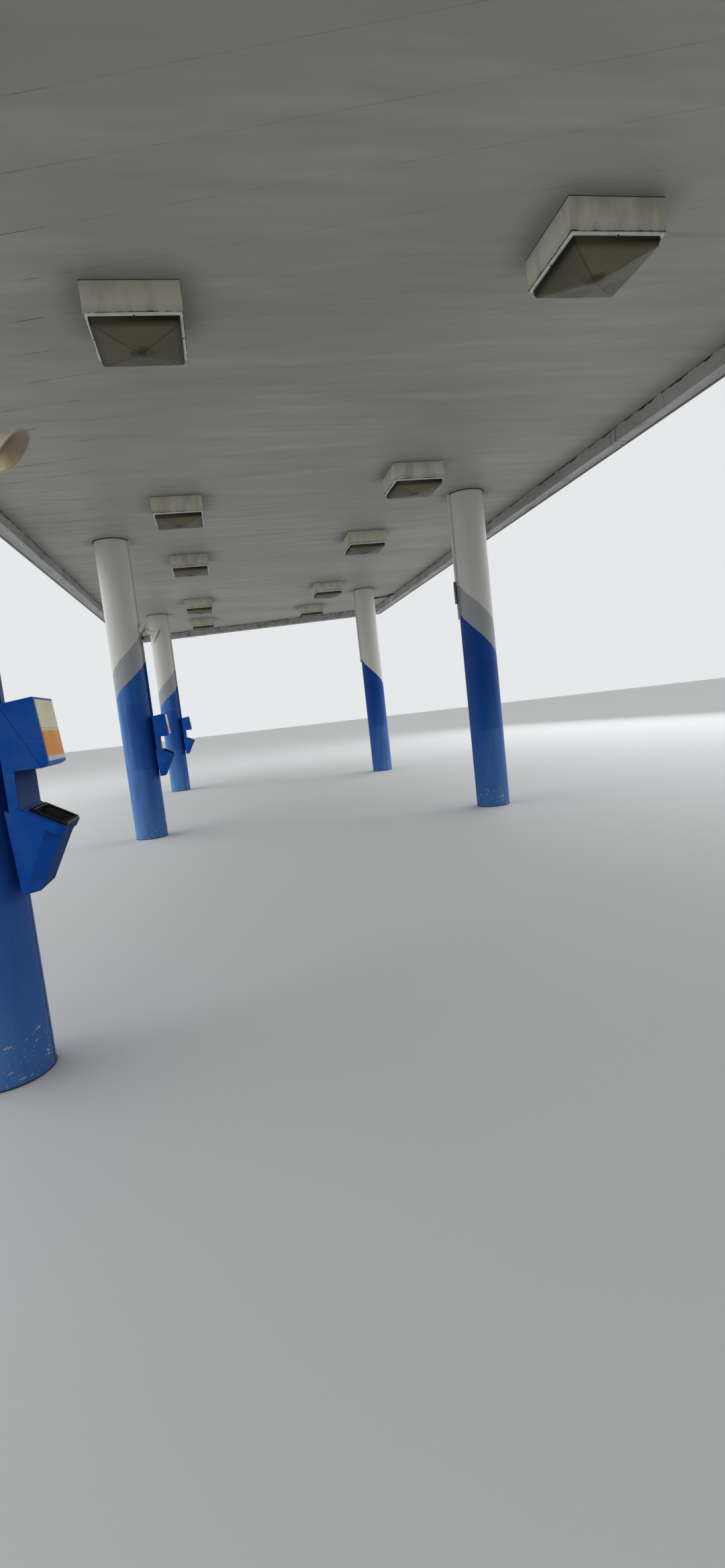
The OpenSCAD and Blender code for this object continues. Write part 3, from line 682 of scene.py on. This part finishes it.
def unit_plastic(c):
    """Rotationally moulded polyethylene, blue right through: soft sheen, fine pebble, scuffed edges."""
    material, tree = new_material("Moulded polyethylene")
    x, z = axes(tree)[0], axes(tree)[2]
    ahead = add_node(tree, "SeparateXYZ", add_node(tree, "NewGeometry").outputs["Normal"]).outputs[0]
    chalk = blotches(tree, 0.18, 0.35, 0.75, 4.0)
    scuffs = blotches(tree, 0.12, 0.6, 0.7, 6.0, (1, 1, 5))

    def between(low, value, high):
        return ("*", (">", value, low), ("<", value, high))

    # splashed grime on the recess's back wall, darker under the head where it is painted shadow; the hopper's
    # front is darker too
    in_recess = ("*", between(UNIT_TOP - 0.55, z, UNIT_TOP - 0.33), ("<", x, -HALF_GAP + 0.32))
    wall = add_node(tree, "*", (">", ahead, 0.35), in_recess)
    front = add_node(tree, "*", (">", ahead, 0.72), ("<", z, UNIT_TOP - 0.6))
    grime = layered(tree, "#374a66", (("MapRange", z, UNIT_TOP - 0.5, UNIT_TOP - 0.36), "#0f1b33"))
    # painted shade on the broad facets at the hopper's corners, a little darker than its sides
    corner = ("*", between(0.2, ahead, 0.72), ("<", z, UNIT_TOP - 0.5))
    # seam of the hinged lid, from the top's back edge to the head's lower front corner
    seam = ("+", ("*", ("+", x, HALF_GAP - 0.275), 0.9002), ("*", ("-", z, UNIT_TOP), 0.4354))
    lid = ("*", ("<", ("ABSOLUTE", seam), 0.0017), (">", z, UNIT_TOP - 0.3365))
    coats = ((chalk, "#6d92cc", 0.13), (scuffs, "#a9bad6", 0.05), (corner, "#0c2348", 0.14),
             (wall, grime, 0.84), (front, "#1c2739", ("MULTIPLY_ADD", chalk, 0.25, 0.66)),
             (lid, "#0a1830", 0.7))
    rough = ("MULTIPLY_ADD", ("MAXIMUM", wall, front), 0.35, ("MULTIPLY_ADD", chalk, 0.15, 0.4))
    # pebble of 2.4 mm, coarser than the real one so that it shows
    pebble = ("TexNoise", {"Vector": turned(tree), "Scale": 420.0, "Detail": 2.0})
    return surface(material, c.unit, coats, rough, pebble, 0.0003, IOR=1.51, Specular_IOR_Level=0.08)


def poster_card(c):
    """Coated card printed in two flat fields, sun-faded: nearly matt; generic, with no words."""
    material, tree = new_material("Faded poster card")
    z = axes(tree)[2]
    level = add_node(tree, "-", z, UNIT_TOP - 0.163)
    lower = ("CLAMPED_MULTIPLY", level, -1200)
    margin = ("CLAMPED_MULTIPLY", ("+", level, 0.122), -1200)
    # two plain rules by the boundary of the fields
    from_rule = ("ABSOLUTE", ("-", ("ABSOLUTE", ("-", level, 0.01)), 0.004))
    rules = ("CLAMPED_MULTIPLY", ("-", 0.0015, from_rule), 900)
    fade = blotches(tree, 0.12, 0.3, 0.8)
    coats = ((rules, "#8c6a3c"), (lower, c.card_foot), (margin, "#c9c8c0"), (fade, "#efe9d6", 0.2))
    # fibres of 2 mm, coarser than the real ones so that they show
    fibre = ("TexNoise", {"Vector": turned(tree), "Scale": 500.0, "Detail": 2.0})
    return surface(material, c.card_top, coats, 0.55, fibre, 0.0002, Specular_IOR_Level=0.1,
                   Coat_Weight=0.06, Coat_Roughness=0.1)


def horn_enamel(c):
    """Cream enamel on a spun aluminium flare: semi-gloss, rust-brown runs from its rim and fixings."""
    material, tree = new_material("Cream horn enamel")
    z = axes(tree)[2]
    grime = blotches(tree, 0.07, 0.4, 0.75, 5.0)
    rust = blotches(tree, 0.02, 0.67, 0.71, 5.0)
    # inside of the flare: its normals look forward; olive above, tan with rust below, darker than the outside
    # and paler towards its bottom, partly dirt and partly painted shade
    normal = add_node(tree, "NewGeometry").outputs["Normal"]
    forward = add_node(tree, "VectorMath", normal, (0.8, 0.0, -0.6), operation="DOT_PRODUCT").outputs[1]
    inside = ("CLAMPED_MULTIPLY", ("+", forward, 0.02), 12)
    depth = add_node(tree, "MapRange", z, HORN_Z + 0.05, HORN_Z - 0.07, interpolation_type="SMOOTHSTEP")
    run = ("*", depth, (">", blotches(tree, 0.03, 0.5, 0.6, 5.0), 0.5))
    lining_with_shade = layered(tree, "#958a72", (depth, "#c8ae82"), (run, "#7c4a30", 0.45), (rust, c.rust))
    coats = ((grime, "#a99d85", 0.16), (rust, c.rust), (inside, lining_with_shade))
    return surface(material, c.horn, coats, ("MULTIPLY_ADD", grime, 0.25, 0.35), grime, 0.0008)


def dusty(name, under, dust, over, strength, rough, relief, **constants):
    """A plain finish under patches of dust or bloom, which also make it a little rougher."""
    material, tree = new_material(name)
    mask = blotches(tree, *dust)
    return surface(material, under, ((mask, over, strength),), ("MULTIPLY_ADD", mask, *rough), mask, relief,
                   **constants)


def tub_plastic(c):
    """Injection-moulded black polypropylene: satin, with dried soap along its rim."""
    return dusty("Black polypropylene", c.tub, (0.06, 0.5, 0.75, 5.0), "#6a6a66", 0.05, (0.3, 0.4), 0.0006,
                 IOR=1.49, Specular_IOR_Level=0.3)


def zinc_plate(c):
    """Zinc-plated steel fasteners: dull metal with white corrosion and a little rust."""
    return dusty("Zinc plate", c.zinc, (0.01, 0.4, 0.7), "#75706a", 0.5, (0.3, 0.35), 0.0002, Metallic=0.9)


def black_rubber(c):
    """Extruded rubber gasket and sealant: matt, dusty."""
    return dusty("Black rubber", c.rubber, (0.05, 0.4, 0.8), "#5c5953", 0.3, (0.2, 0.65), 0.0005)


def box_enamel(c):
    """Black enamel on pressed steel: satin, dusty."""
    return dusty("Black enamel", c.box, (0.06, 0.35, 0.8, 4.0), "#6a6862", 0.3, (0.25, 0.4), 0.0004)


# Operators, one for each piece or group of like pieces


class CANOPY_OT_columns(bpy.types.Operator):
    """Paints the columns, seals them to the ground and the soffit and screws their strips on"""
    bl_idname = "canopy.columns"
    bl_label = "Columns"

    def execute(self, context):
        paint("column", column_enamel)
        spots = [on_pair(pair, s * HALF_GAP) for s in (-1, 1) for pair in PAIRS]
        ring = primitive("torus", "column_seal", at=(0, 0, 0.004), major_radius=COLUMN_R + 0.001,
                         minor_radius=0.0035, major_segments=64, minor_segments=8)
        choose(ring, lambda at, normal: True)
        bpy.ops.mesh.bisect(plane_co=(0, 0, 0.0002), plane_no=(0, 0, 1), clear_inner=True, use_fill=True)
        repeated(smooth(ring, 60), spots, "column_seals", black_rubber, "tub_plastic")
        # painted shade: the black collar stands for the dark shadow gap round the column's head under the
        # soffit
        # the collar reaches into the soffit's hole and fits the column with hardly any play
        deep, hidden, wide, play = context.scene.canopy_sizes.collar, 0.008, 0.0215, 0.0002
        collar = primitive("cylinder", "collar", at=(0, 0, SOFFIT + (hidden - deep) / 2),
                           radius=COLUMN_R + wide, depth=deep + hidden, vertices=64)
        rounded(hollowed(collar, wide - play), 0.003)
        repeated(smooth(collar, 40), spots, "column_collars", black_rubber, "tub_plastic")
        self.strip_screws(spots)
        return {"FINISHED"}

    def strip_screws(self, spots):
        """Pan-head screws down the middle of each cover strip, clear of the horns."""
        top, step, horn_room = SOFFIT - 0.12, 0.6, 0.3
        places = []
        for spot in spots:
            inward = -math.copysign(1, spot.x)
            # the right row has screws only on the white band
            lowest = 3.25 if spot.x > 0 else 2.0
            for k in range(int((top + 0.02 - lowest) / step) + 1):
                at = spot + Vector((inward * (COLUMN_R + STRIP_OUT), 0, top - step * k))
                if abs(at.z - HORN_Z) > horn_room:
                    places.append(facing((inward, 0, 0), at))
        head = domed_head("strip_screw", 0.0055, 0.45, 12)
        repeated(head, places, "strip_screws", zinc_plate, "steel")


class CANOPY_OT_soffit(bpy.types.Operator):
    """Coats the soffit pans and closes their joints with a thin bead of paint"""
    bl_idname = "canopy.soffit"
    bl_label = "Soffit"

    def execute(self, context):
        paint("deck", soffit_coat)
        # a bead of unit length, a little wider than its joint, to be stretched along each run
        width, tall, sunk = context.scene.canopy_sizes.bead * 1.04 / math.cos(SKEW_ANGLE), 0.0022, 0.0001
        bead = block("bead", (1, width, tall), (0.5, 0, SOFFIT + sunk + tall / 2))
        hole, torn_from = (COLUMN_R + 0.024) * math.cos(SKEW_ANGLE), 2.86
        places = []
        for k in range(-LAST_JOINT, LAST_JOINT + 1):
            ends = (-HALF_W, HALF_W)
            if k % PANS_IN_BAY == 0:
                ends = (-HALF_W, -HALF_GAP - hole, -HALF_GAP + hole, HALF_GAP - hole, HALF_GAP + hole, HALF_W)
            elif k in TORN_JOINTS:
                ends = (-HALF_W, torn_from)
            for start, end in zip(ends[::2], ends[1::2]):
                place = Matrix.Translation((start, k * PAN_STEP - SKEW * start, 0))
                place[0][0], place[1][0] = end - start, -SKEW * (end - start)
                places.append(place)
        repeated(bead, places, "pan_joints", soffit_coat, "soffit_paint")
        return {"FINISHED"}


class CANOPY_OT_edge(bpy.types.Operator):
    """Coats the edge channel and adds its splice covers, their old sealant and rivets"""
    bl_idname = "canopy.edge"
    bl_label = "Edge channel"

    def execute(self, context):
        paint("edge", edge_coat)
        wide, thick, squeezed = context.scene.canopy_sizes.cover, 0.0012, 0.022
        # side and y of each splice
        spots = [(1, -2.88), (1, -6.36), (1, 4.08), (1, 7.56), (-1, -7.904), (-1, 2.536), (-1, 6.016)]
        places = [Matrix.Translation((0, y, 0)) @ Matrix.Rotation(math.pi if s < 0 else 0, 4, "Z")
                  for s, y in spots]
        # one leg on the channel's inner face and one under it, with two rivets in each row
        for name, across, depth, make in (("splice_covers", wide, thick, edge_coat),
                                          ("cover_sealant", wide + squeezed, thick / 2, black_rubber)):
            plate = block("plate", (EDGE_W, across, SOFFIT - EDGE_Z),
                          (HALF_W + EDGE_W / 2, 0, (SOFFIT + EDGE_Z) / 2))
            folded(plate, "xz", depth, 1.0, depth / 3, 1)
            repeated(plate, places, name, make, "edge_paint")
        places, apart, ups, outs = [], wide * 0.3, (0.03, 0.12), (0.04, 0.12)
        for s, y in ((s, y + dy) for s, y in spots for dy in (-apart, apart)):
            places += [facing((-s, 0, 0), (s * (HALF_W - thick), y, EDGE_Z + up)) for up in ups]
            places += [facing((0, 0, -1), (s * (HALF_W + out), y, EDGE_Z - thick)) for out in outs]
        repeated(domed_head("rivet", 0.004, 0.4), places, "cover_rivets", zinc_plate, "steel")
        return {"FINISHED"}


class CANOPY_OT_fascia(bpy.types.Operator):
    """Coats the fascia panels and adds the rivets of their top returns"""
    bl_idname = "canopy.fascia"
    bl_label = "Fascia"

    def execute(self, context):
        for side in ("left", "right", "near", "far"):
            paint("fascia_" + side, fascia_skin)
        # a side's row is 70 mm in from its outer face and an end's row 39 mm
        row, end, step = FASCIA_X - 0.07, FASCIA_END - SKEW * HALF_W - 0.09, 0.4
        places = []
        for s in (-1, 1):
            places += [(s * row, k * step - SKEW * s * row, FASCIA_TOP) for k in range(-28, 29)]
            places += [(k * step, s * end - SKEW * k * step, FASCIA_TOP) for k in range(-8, 9)]
        repeated(domed_head("rivet", 0.006, 0.45), places, "fascia_rivets", zinc_plate, "steel")
        return {"FINISHED"}


class CANOPY_OT_roof_steel(bpy.types.Operator):
    """Primes the roof steel and adds its cleats, bolts and deck screws"""
    bl_idname = "canopy.roof_steel"
    bl_label = "Roof steel"

    def execute(self, context):
        for name in ("beam", "purlin", "fascia_brackets"):
            paint(name, primed_steel)
        rows = [box_middle("purlin_%d" % k).x for k in (1, 2, 3, 4, 5)]
        half_web, half_beam_web, leg, tall, thick = 0.003, 0.0047, 0.07, 0.13, 0.008
        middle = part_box("purlin_3")[0].z + 0.1
        # angle cleat: one leg on the purlin's web, the other on the beam's
        cleat = folded(block("cleat", (leg, leg, tall), (leg / 2, leg / 2, 0)), "xy", thick, -1.0, 0.002, 2)
        cleats, bolts = [], []
        for x, pair, s in ((x, pair, s) for x in rows for pair in PAIRS for s in (-1, 1)):
            at = on_pair(pair, x + half_web, middle, s * half_beam_web)
            place = Matrix.Translation(at)
            place[1][0], place[1][1] = -SKEW, s
            cleats.append(place)
            for up in (-0.035, 0.035):
                bolts.append(facing((1, 0, 0), at + Vector((thick, s * 0.045, up))))
                bolts.append(facing((SKEW, s, 0), at + Vector((0.04, s * 0.0085 - SKEW * 0.04, up))))
        outward(repeated(cleat, cleats, "purlin_cleats", primed_steel, "steel"))
        # four bolts through each beam's foot plate over a column
        plate, out, ahead = 0.014, 0.11, 0.055
        for at in (on_pair(pair, s * HALF_GAP, RIB_TOP + plate) for s in (-1, 1) for pair in PAIRS):
            bolts += [at + Vector((x, y - SKEW * x, 0)) for x in (-out, out) for y in (-ahead, ahead)]
        head = bolt_head("bolt", context.scene.canopy_sizes.bolt)
        repeated(head, bolts, "steel_bolts", zinc_plate, "steel")
        # the deck's screws stand beside the purlins, on every pan joint that no beam covers
        screws = [(x, k * PAN_STEP - SKEW * x, RIB_TOP) for row in rows
                  for k in range(-LAST_JOINT, LAST_JOINT + 1) if k % PANS_IN_BAY
                  for x in (row - 0.066, row + 0.066)]
        repeated(bolt_head("deck_screw", 0.011, 0.006), screws, "deck_screws", zinc_plate, "steel")
        return {"FINISHED"}


class CANOPY_OT_lights(bpy.types.Operator):
    """Builds the box lights: housings, door frames, formed lenses, gaskets and screws"""
    bl_idname = "canopy.lights"
    bl_label = "Lights"

    def execute(self, context):
        sizes = context.scene.canopy_sizes
        for two in ("%s_%d" % (side, pair) for side in ("left", "right") for pair in PAIRS):
            softened("lights_" + two, "housings_" + two, sizes.housing_radius, housing_coat, "light_paint")
        self.doors(sizes)
        self.lenses(sizes)
        # thin dark strip between each housing and the soffit
        wide, thick = HOUSING_W + 0.004, 0.004
        gasket = hollowed(block("gasket", (wide, wide, thick), (0, 0, -thick / 2)), 0.012)
        repeated(gasket, light_places(), "light_gaskets", black_rubber, "tub_plastic")
        self.screws(sizes)
        return {"FINISHED"}

    def spread(self, piece, name, make, slot, nodes):
        """One copy of a piece on each light, joined by row; each row stands for its CAD node."""
        places = light_places()
        for side, row in (("_left", places[:6]), ("_right", places[6:])):
            repeated(piece.copy(), row, name + side, make, slot, nodes + side)
        bpy.data.objects.remove(piece)

    def doors(self, sizes):
        """Slim extruded frame that holds the lens, with softened edges."""
        wide, tall = 2 * DOOR_HALF, HOUSING_Z - DOOR_Z
        door = hollowed(block("door", (wide, wide, tall), (0, 0, DOOR_Z + tall / 2 - SOFFIT)), sizes.frame)
        rounded(door, sizes.door_radius, angle=30)
        self.spread(smooth(door), "door_frames", door_coat, "door_paint", "light_doors")

    def lenses(self, sizes):
        """Formed sheet: straight skirt, then a shallow pyramid with soft creases."""
        half, skirt, top = DOOR_HALF - sizes.frame - 0.0005, 0.045, 0.014
        low = DOOR_Z - SOFFIT - skirt
        lens = block("lens", (2 * half, 2 * half, top + skirt), (0, 0, low + (top + skirt) / 2))
        cut(lens, lambda at, normal: normal.z > 0.9)
        choose(lens, lambda at, normal: normal.z < -0.9)
        bpy.ops.mesh.poke(offset=low + SOFFIT - LENS_TIP)
        bevelled(lens, lambda at, run: at.z < low - 0.001, sizes.crease, 5, clamp_overlap=True)

        def foot(at, run):
            return abs(at.z - low) < 0.002 and max(abs(at.x), abs(at.y)) > half - 0.002

        bevelled(lens, foot, 0.008, 4, clamp_overlap=True)
        apply(outward(lens), "SOLIDIFY", thickness=0.004, offset=-1)
        self.spread(smooth(lens, 40), "formed_lenses", lens_acrylic, "lens", "lenses")

    def screws(self, sizes):
        """One dark screw in the middle of each side of a door."""
        head = primitive("cylinder", "screw", radius=sizes.screw, depth=0.003, vertices=12)
        choose(head, lambda at, normal: normal.z < -0.9)
        bpy.ops.mesh.inset(thickness=sizes.screw * 0.35)
        bpy.ops.transform.translate(value=(0, 0, -0.0012))
        reach, down = DOOR_HALF - sizes.frame / 2, DOOR_Z - SOFFIT - 0.001
        spots = [at + Vector((x, y, down)) for at in light_places()
                 for x, y in ((reach, 0), (-reach, 0), (0, reach), (0, -reach))]
        repeated(smooth(head), spots, "door_screws", black_rubber, "steel")


class CANOPY_OT_service_units(bpy.types.Operator):
    """Builds the moulded service units with their tubs, cards and lid pivots"""
    bl_idname = "canopy.service_units"
    bl_label = "Service units"

    def execute(self, context):
        sizes = context.scene.canopy_sizes
        for pair in PAIRS:
            node = "service_unit_%d" % pair
            finished(self.moulded(node, sizes.unit_radius), unit_plastic, "unit_plastic", node)
        softened("unit_tubs", "moulded_tubs", sizes.tub_radius, tub_plastic, "tub_plastic", 3)
        self.rims()
        self.cards()
        out, down, sunk = 0.31, 0.037, 0.005
        pivots = [facing((0, s, 0), on_pair(pair, -HALF_GAP, UNIT_TOP - down, s * (UNIT_HALF - sunk))
                         + Vector((out, 0, 0))) for pair in PAIRS for s in (-1, 1)]
        repeated(domed_head("pivot", 0.009, 0.5, 16, 8), pivots, "lid_pivots", unit_plastic, "unit_plastic")
        return {"FINISHED"}

    def moulded(self, node, radius):
        """The unit with its lid seam closed (it is painted), its shelf joint filled and edges rounded."""
        unit = smooth(merged(node, "moulded_" + node))
        middle = box_middle(node).y
        # out from the column's axis and down from the top: the ends of the lid's seam
        seam_ends, seam_half, inner_half = ((0.286, 0.0207), (0.4395, 0.336)), 0.006, 0.19
        shelf_joint_down = 0.524

        def local(at):
            return Vector((at.x + HALF_GAP, at.y - middle, at.z - UNIT_TOP))

        def groove(at):
            x, y, z = local(at)
            near_end = min(math.hypot(x - out, z + down) for out, down in seam_ends)
            return abs(y) > inner_half and near_end < seam_half

        # the seam's groove is merged to a line, which is then brought out to the unit's sides
        choose(unit, lambda at, normal: groove(at), "VERT")
        bpy.ops.mesh.remove_doubles(threshold=0.007)
        for side in (-1, 1):
            choose(unit, lambda at, normal: groove(at) and (at.y - middle) * side > 0, "VERT")
            bpy.ops.transform.resize(value=(1, 0, 1), center_override=(0, middle + side * UNIT_BODY, 0))
        # the shelf's joint is filled by moving its inner corners down and back
        for low, shift in ((0.28, (-0.0105, 0, -0.0175)), (0.25, (0, 0, -0.0035))):
            choose(unit, lambda at, normal: (abs(local(at).z + shelf_joint_down) < 0.001
                                             and 0 < local(at).x - low < 0.02), "VERT")
            bpy.ops.transform.translate(value=shift)
        bpy.ops.mesh.select_all(action="SELECT")
        bpy.ops.mesh.dissolve_limited(angle_limit=math.radians(1.0))

        def outer(at, run):
            x, y, z = local(at)
            above_shelf = (x - SHELF_X) * math.sin(SHELF_TILT) + (z + SHELF_DOWN) * math.cos(SHELF_TILT)
            joint = abs(above_shelf + 0.041) < 0.012
            behind = x < SHELF_X + 0.001 and -0.05 < above_shelf < 0.001 and z < -0.5
            return not joint and not behind and abs(y) + abs(run.y) / 2 > 0.16

        return smooth(bevelled(unit, outer, radius, 3))

    def on_units(self, x, down, lean, step):
        """Places on the units: out from the column's axis and down from the top, leant, then a step."""
        place = Matrix.Translation((x, 0, -down)) @ Matrix.Rotation(lean, 4, "Y") @ Matrix.Translation(step)
        return [Matrix.Translation(on_pair(pair, -HALF_GAP, UNIT_TOP)) @ place for pair in PAIRS]

    def rims(self):
        """Thick rolled rim round each tub."""
        long, wide, tall, width, corner, roll = 0.184, 0.290, 0.015, 0.017, 0.018, 0.006
        along_shelf = 0.134
        rim = hollowed(block("rim", (long, wide, tall)), width)
        bevelled(rim, lambda at, run: abs(run.z) > tall / 2 and abs(at.x) > long / 2 - 0.03, corner, 4)
        rounded(rim, roll, 4, 60)
        places = self.on_units(SHELF_X, SHELF_DOWN, SHELF_TILT, (along_shelf, 0, tall / 2))
        repeated(smooth(rim, 50), places, "tub_rims", tub_plastic, "tub_plastic")

    def cards(self):
        """Thick card, nearly as wide as the head's sloping front."""
        thick, wide, tall, corner = 0.003, 0.354, 0.297, 0.006
        # the head's front leans back by 26 mm in 322 mm from its lower edge, 442 mm out
        out, lean, proud, down = 0.442, -math.atan2(0.026, 0.322), 0.0012, 0.1605
        card = block("card", (thick, wide, tall))
        bevelled(card, lambda at, run: abs(run.x) > thick / 2, corner, 3)
        rounded(card, 0.0008, angle=60)
        places = self.on_units(out, 0, lean, (proud, 0, -down))
        repeated(smooth(card, 40), places, "unit_cards", poster_card, "poster_card", "unit_posters")


class CANOPY_OT_horns(bpy.types.Operator):
    """Enamels the horns and the junction box and adds rolled rims, clamps and struts"""
    bl_idname = "canopy.horns"
    bl_label = "Horns"

    def execute(self, context):
        for pair, tilt in HORN_TILTS.items():
            node, base = "horn_%d" % pair, on_pair(pair, -HALF_GAP, HORN_Z)
            softened(node, "enamelled_" + node, 0.0015, horn_enamel, "horn_paint")
            self.rim(pair, base, math.radians(tilt))
            self.strut(pair, base, math.radians(tilt))
        softened("junction_box", "pressed_box", 0.0025, box_enamel, "box_paint")
        return {"FINISHED"}

    def rim(self, pair, base, tilt):
        """Rolled rim round the horn's mouth."""
        ring = primitive("torus", "rim", at=(0, 0, 0.002), major_radius=HORN_R - 0.001, minor_radius=0.0035,
                         major_segments=96, minor_segments=10)
        place = facing((math.cos(tilt), 0, -math.sin(tilt)), base + Vector((COLUMN_R + HORN_REACH, 0, 0)))
        repeated(smooth(ring, 60), [place], "horn_rim_%d" % pair, horn_enamel, "horn_paint")

    def strut(self, pair, base, tilt):
        """Black strut from a clamp knob on the column up to the driver."""
        # the strut meets the driver behind the horn's mouth and under its axis, a little to one side
        back, under, aside = HORN_LEN + 0.03, 0.062, -0.02
        out = COLUMN_R + HORN_REACH - back * math.cos(tilt) - under * math.sin(tilt)
        foot = base + Vector((COLUMN_R + STRIP_OUT + 0.012, aside, back * math.sin(tilt) - 0.13))
        run = base + Vector((out, aside, back * math.sin(tilt) - under * math.cos(tilt))) - foot
        rod = primitive("cylinder", "strut", at=(0, 0, run.length / 2), radius=0.007, depth=run.length,
                        vertices=16)
        choose(rod, lambda at, normal: abs(normal.z) > 0.9)
        bpy.ops.mesh.inset(thickness=0.002)
        repeated(smooth(rod, 40), [facing(run, foot)], "horn_strut_%d" % pair, box_enamel, "box_paint")
        deep = 0.03
        knob = primitive("cylinder", "knob", radius=0.024, depth=deep, vertices=24)
        bevelled(knob, lambda at, run: abs(abs(at.z) - deep / 2) < 0.001, 0.006, 3)
        repeated(smooth(knob, 40), [facing((0, 1, 0), foot)], "horn_clamp_%d" % pair, box_enamel, "box_paint")


class CANOPY_OT_stage(bpy.types.Operator):
    """Adds the floor, the studio light and the camera at the photograph's viewing angle"""
    bl_idname = "canopy.stage"
    bl_label = "Stage"

    def execute(self, context):
        self.floor()
        self.world(context)
        self.lamps()
        self.camera(context)
        context.scene.view_settings.view_transform = "Standard"
        return {"FINISHED"}

    def floor(self):
        """Plain pale floor, wide enough to meet the horizon."""
        floor = primitive("plane", "floor", (160, 160, 1), size=1)
        material, tree = new_material("Studio floor")
        grain = blotches(tree, 2.0, 0.2, 0.8)
        floor.data.materials.append(surface(material, "#cfcfcd", ((grain, "#c4c4c2", 0.08),), 0.9))

    def world(self, context):
        """Sky light, dimmer at the horizon; camera, gloss and glass see a plain pale ground for it."""
        world = bpy.data.worlds.new("Studio")
        context.scene.world = world
        world.use_nodes = True
        tree = world.node_tree
        tree.nodes.clear()
        path = add_node(tree, "LightPath")
        rays = [path.outputs["Is %s Ray" % kind] for kind in ("Camera", "Glossy", "Transmission")]
        seen = ("MAXIMUM", rays[0], ("MAXIMUM", *rays[1:]))
        up = add_node(tree, "SeparateXYZ", add_node(tree, "TexCoord").outputs["Generated"]).outputs[2]
        light = ("Background", (0.95, 0.97, 1.0, 1.0), ("MapRange", up, 0.0, 0.35, 0.16, 0.78))
        view = ("Background", rgba("#e6e8ea"), 1.0)
        add_node(tree, "OutputWorld", ("MixShader", seen, light, view))

    def lamps(self):
        """Two large soft lights, one on each open side."""
        for name, at, power, tint in (("left sky", (-16, 2, 7.5), 1700, (0.92, 0.96, 1.0)),
                                      ("right sky", (17, 8, 7.5), 1900, (0.95, 0.97, 1.0))):
            data = bpy.data.lights.new(name, "AREA")
            data.shape, data.size, data.size_y = "RECTANGLE", 30, 9
            data.energy, data.color = power, tint
            lamp = bpy.data.objects.new(name, data)
            lamp.location = at
            lamp.rotation_euler = (Vector((0, 0, 2.5)) - Vector(at)).to_track_quat("-Z", "Y").to_euler()
            bpy.context.collection.objects.link(lamp)

    def camera(self, context):
        """Solved from the photograph: focal length 1079.8 px of a 1080 x 2337 frame."""
        yaw, pitch, roll = 0.177, 0.107, -0.11
        place, focal_px, frame_px = (-1.199, -10.712, 1.639), 1079.82, 2337
        ahead = Vector((math.sin(yaw) * math.cos(pitch), math.cos(yaw) * math.cos(pitch), -math.sin(pitch)))
        level = Vector((math.cos(yaw), -math.sin(yaw), 0))
        upright = level.cross(ahead)
        right = level * math.cos(roll) + upright * math.sin(roll)
        up = upright * math.cos(roll) - level * math.sin(roll)
        data = bpy.data.cameras.new("Camera")
        data.sensor_width = 36.0
        data.lens = data.sensor_width * focal_px / frame_px
        data.clip_start, data.clip_end = 0.05, 400
        camera = bpy.data.objects.new("Camera", data)
        turn = Matrix((right, up, -ahead)).transposed().to_4x4()
        camera.matrix_world = Matrix.Translation(place) @ turn
        context.collection.objects.link(camera)
        context.scene.camera = camera


OPERATORS = (
    CANOPY_OT_stage, CANOPY_OT_columns, CANOPY_OT_soffit, CANOPY_OT_edge, CANOPY_OT_fascia,
    CANOPY_OT_roof_steel, CANOPY_OT_lights, CANOPY_OT_service_units, CANOPY_OT_horns,
)


class CANOPY_PT_panel(bpy.types.Panel):
    """Lists the canopy's operators, sizes and colours"""
    bl_label = "Filling station canopy"
    bl_idname = "CANOPY_PT_panel"
    bl_space_type = "VIEW_3D"
    bl_region_type = "UI"
    bl_category = "Canopy"

    def draw(self, context):
        for operator in OPERATORS:
            self.layout.operator(operator.bl_idname)
        for group in (context.scene.canopy_sizes, context.scene.canopy_colours):
            column = self.layout.column()
            for name in group.bl_rna.properties.keys():
                if name not in ("rna_type", "name"):
                    column.prop(group, name)


CLASSES = (CanopyColours, CanopySizes) + OPERATORS + (CANOPY_PT_panel,)


def register():
    for item in CLASSES:
        bpy.utils.register_class(item)
    bpy.types.Scene.canopy_colours = bpy.props.PointerProperty(type=CanopyColours)
    bpy.types.Scene.canopy_sizes = bpy.props.PointerProperty(type=CanopySizes)


def unregister():
    del bpy.types.Scene.canopy_sizes
    del bpy.types.Scene.canopy_colours
    for item in reversed(CLASSES):
        bpy.utils.unregister_class(item)


def main():
    register()
    for operator in OPERATORS:
        group, name = operator.bl_idname.split(".")
        getattr(getattr(bpy.ops, group), name)()


if __name__ == "__main__":
    main()
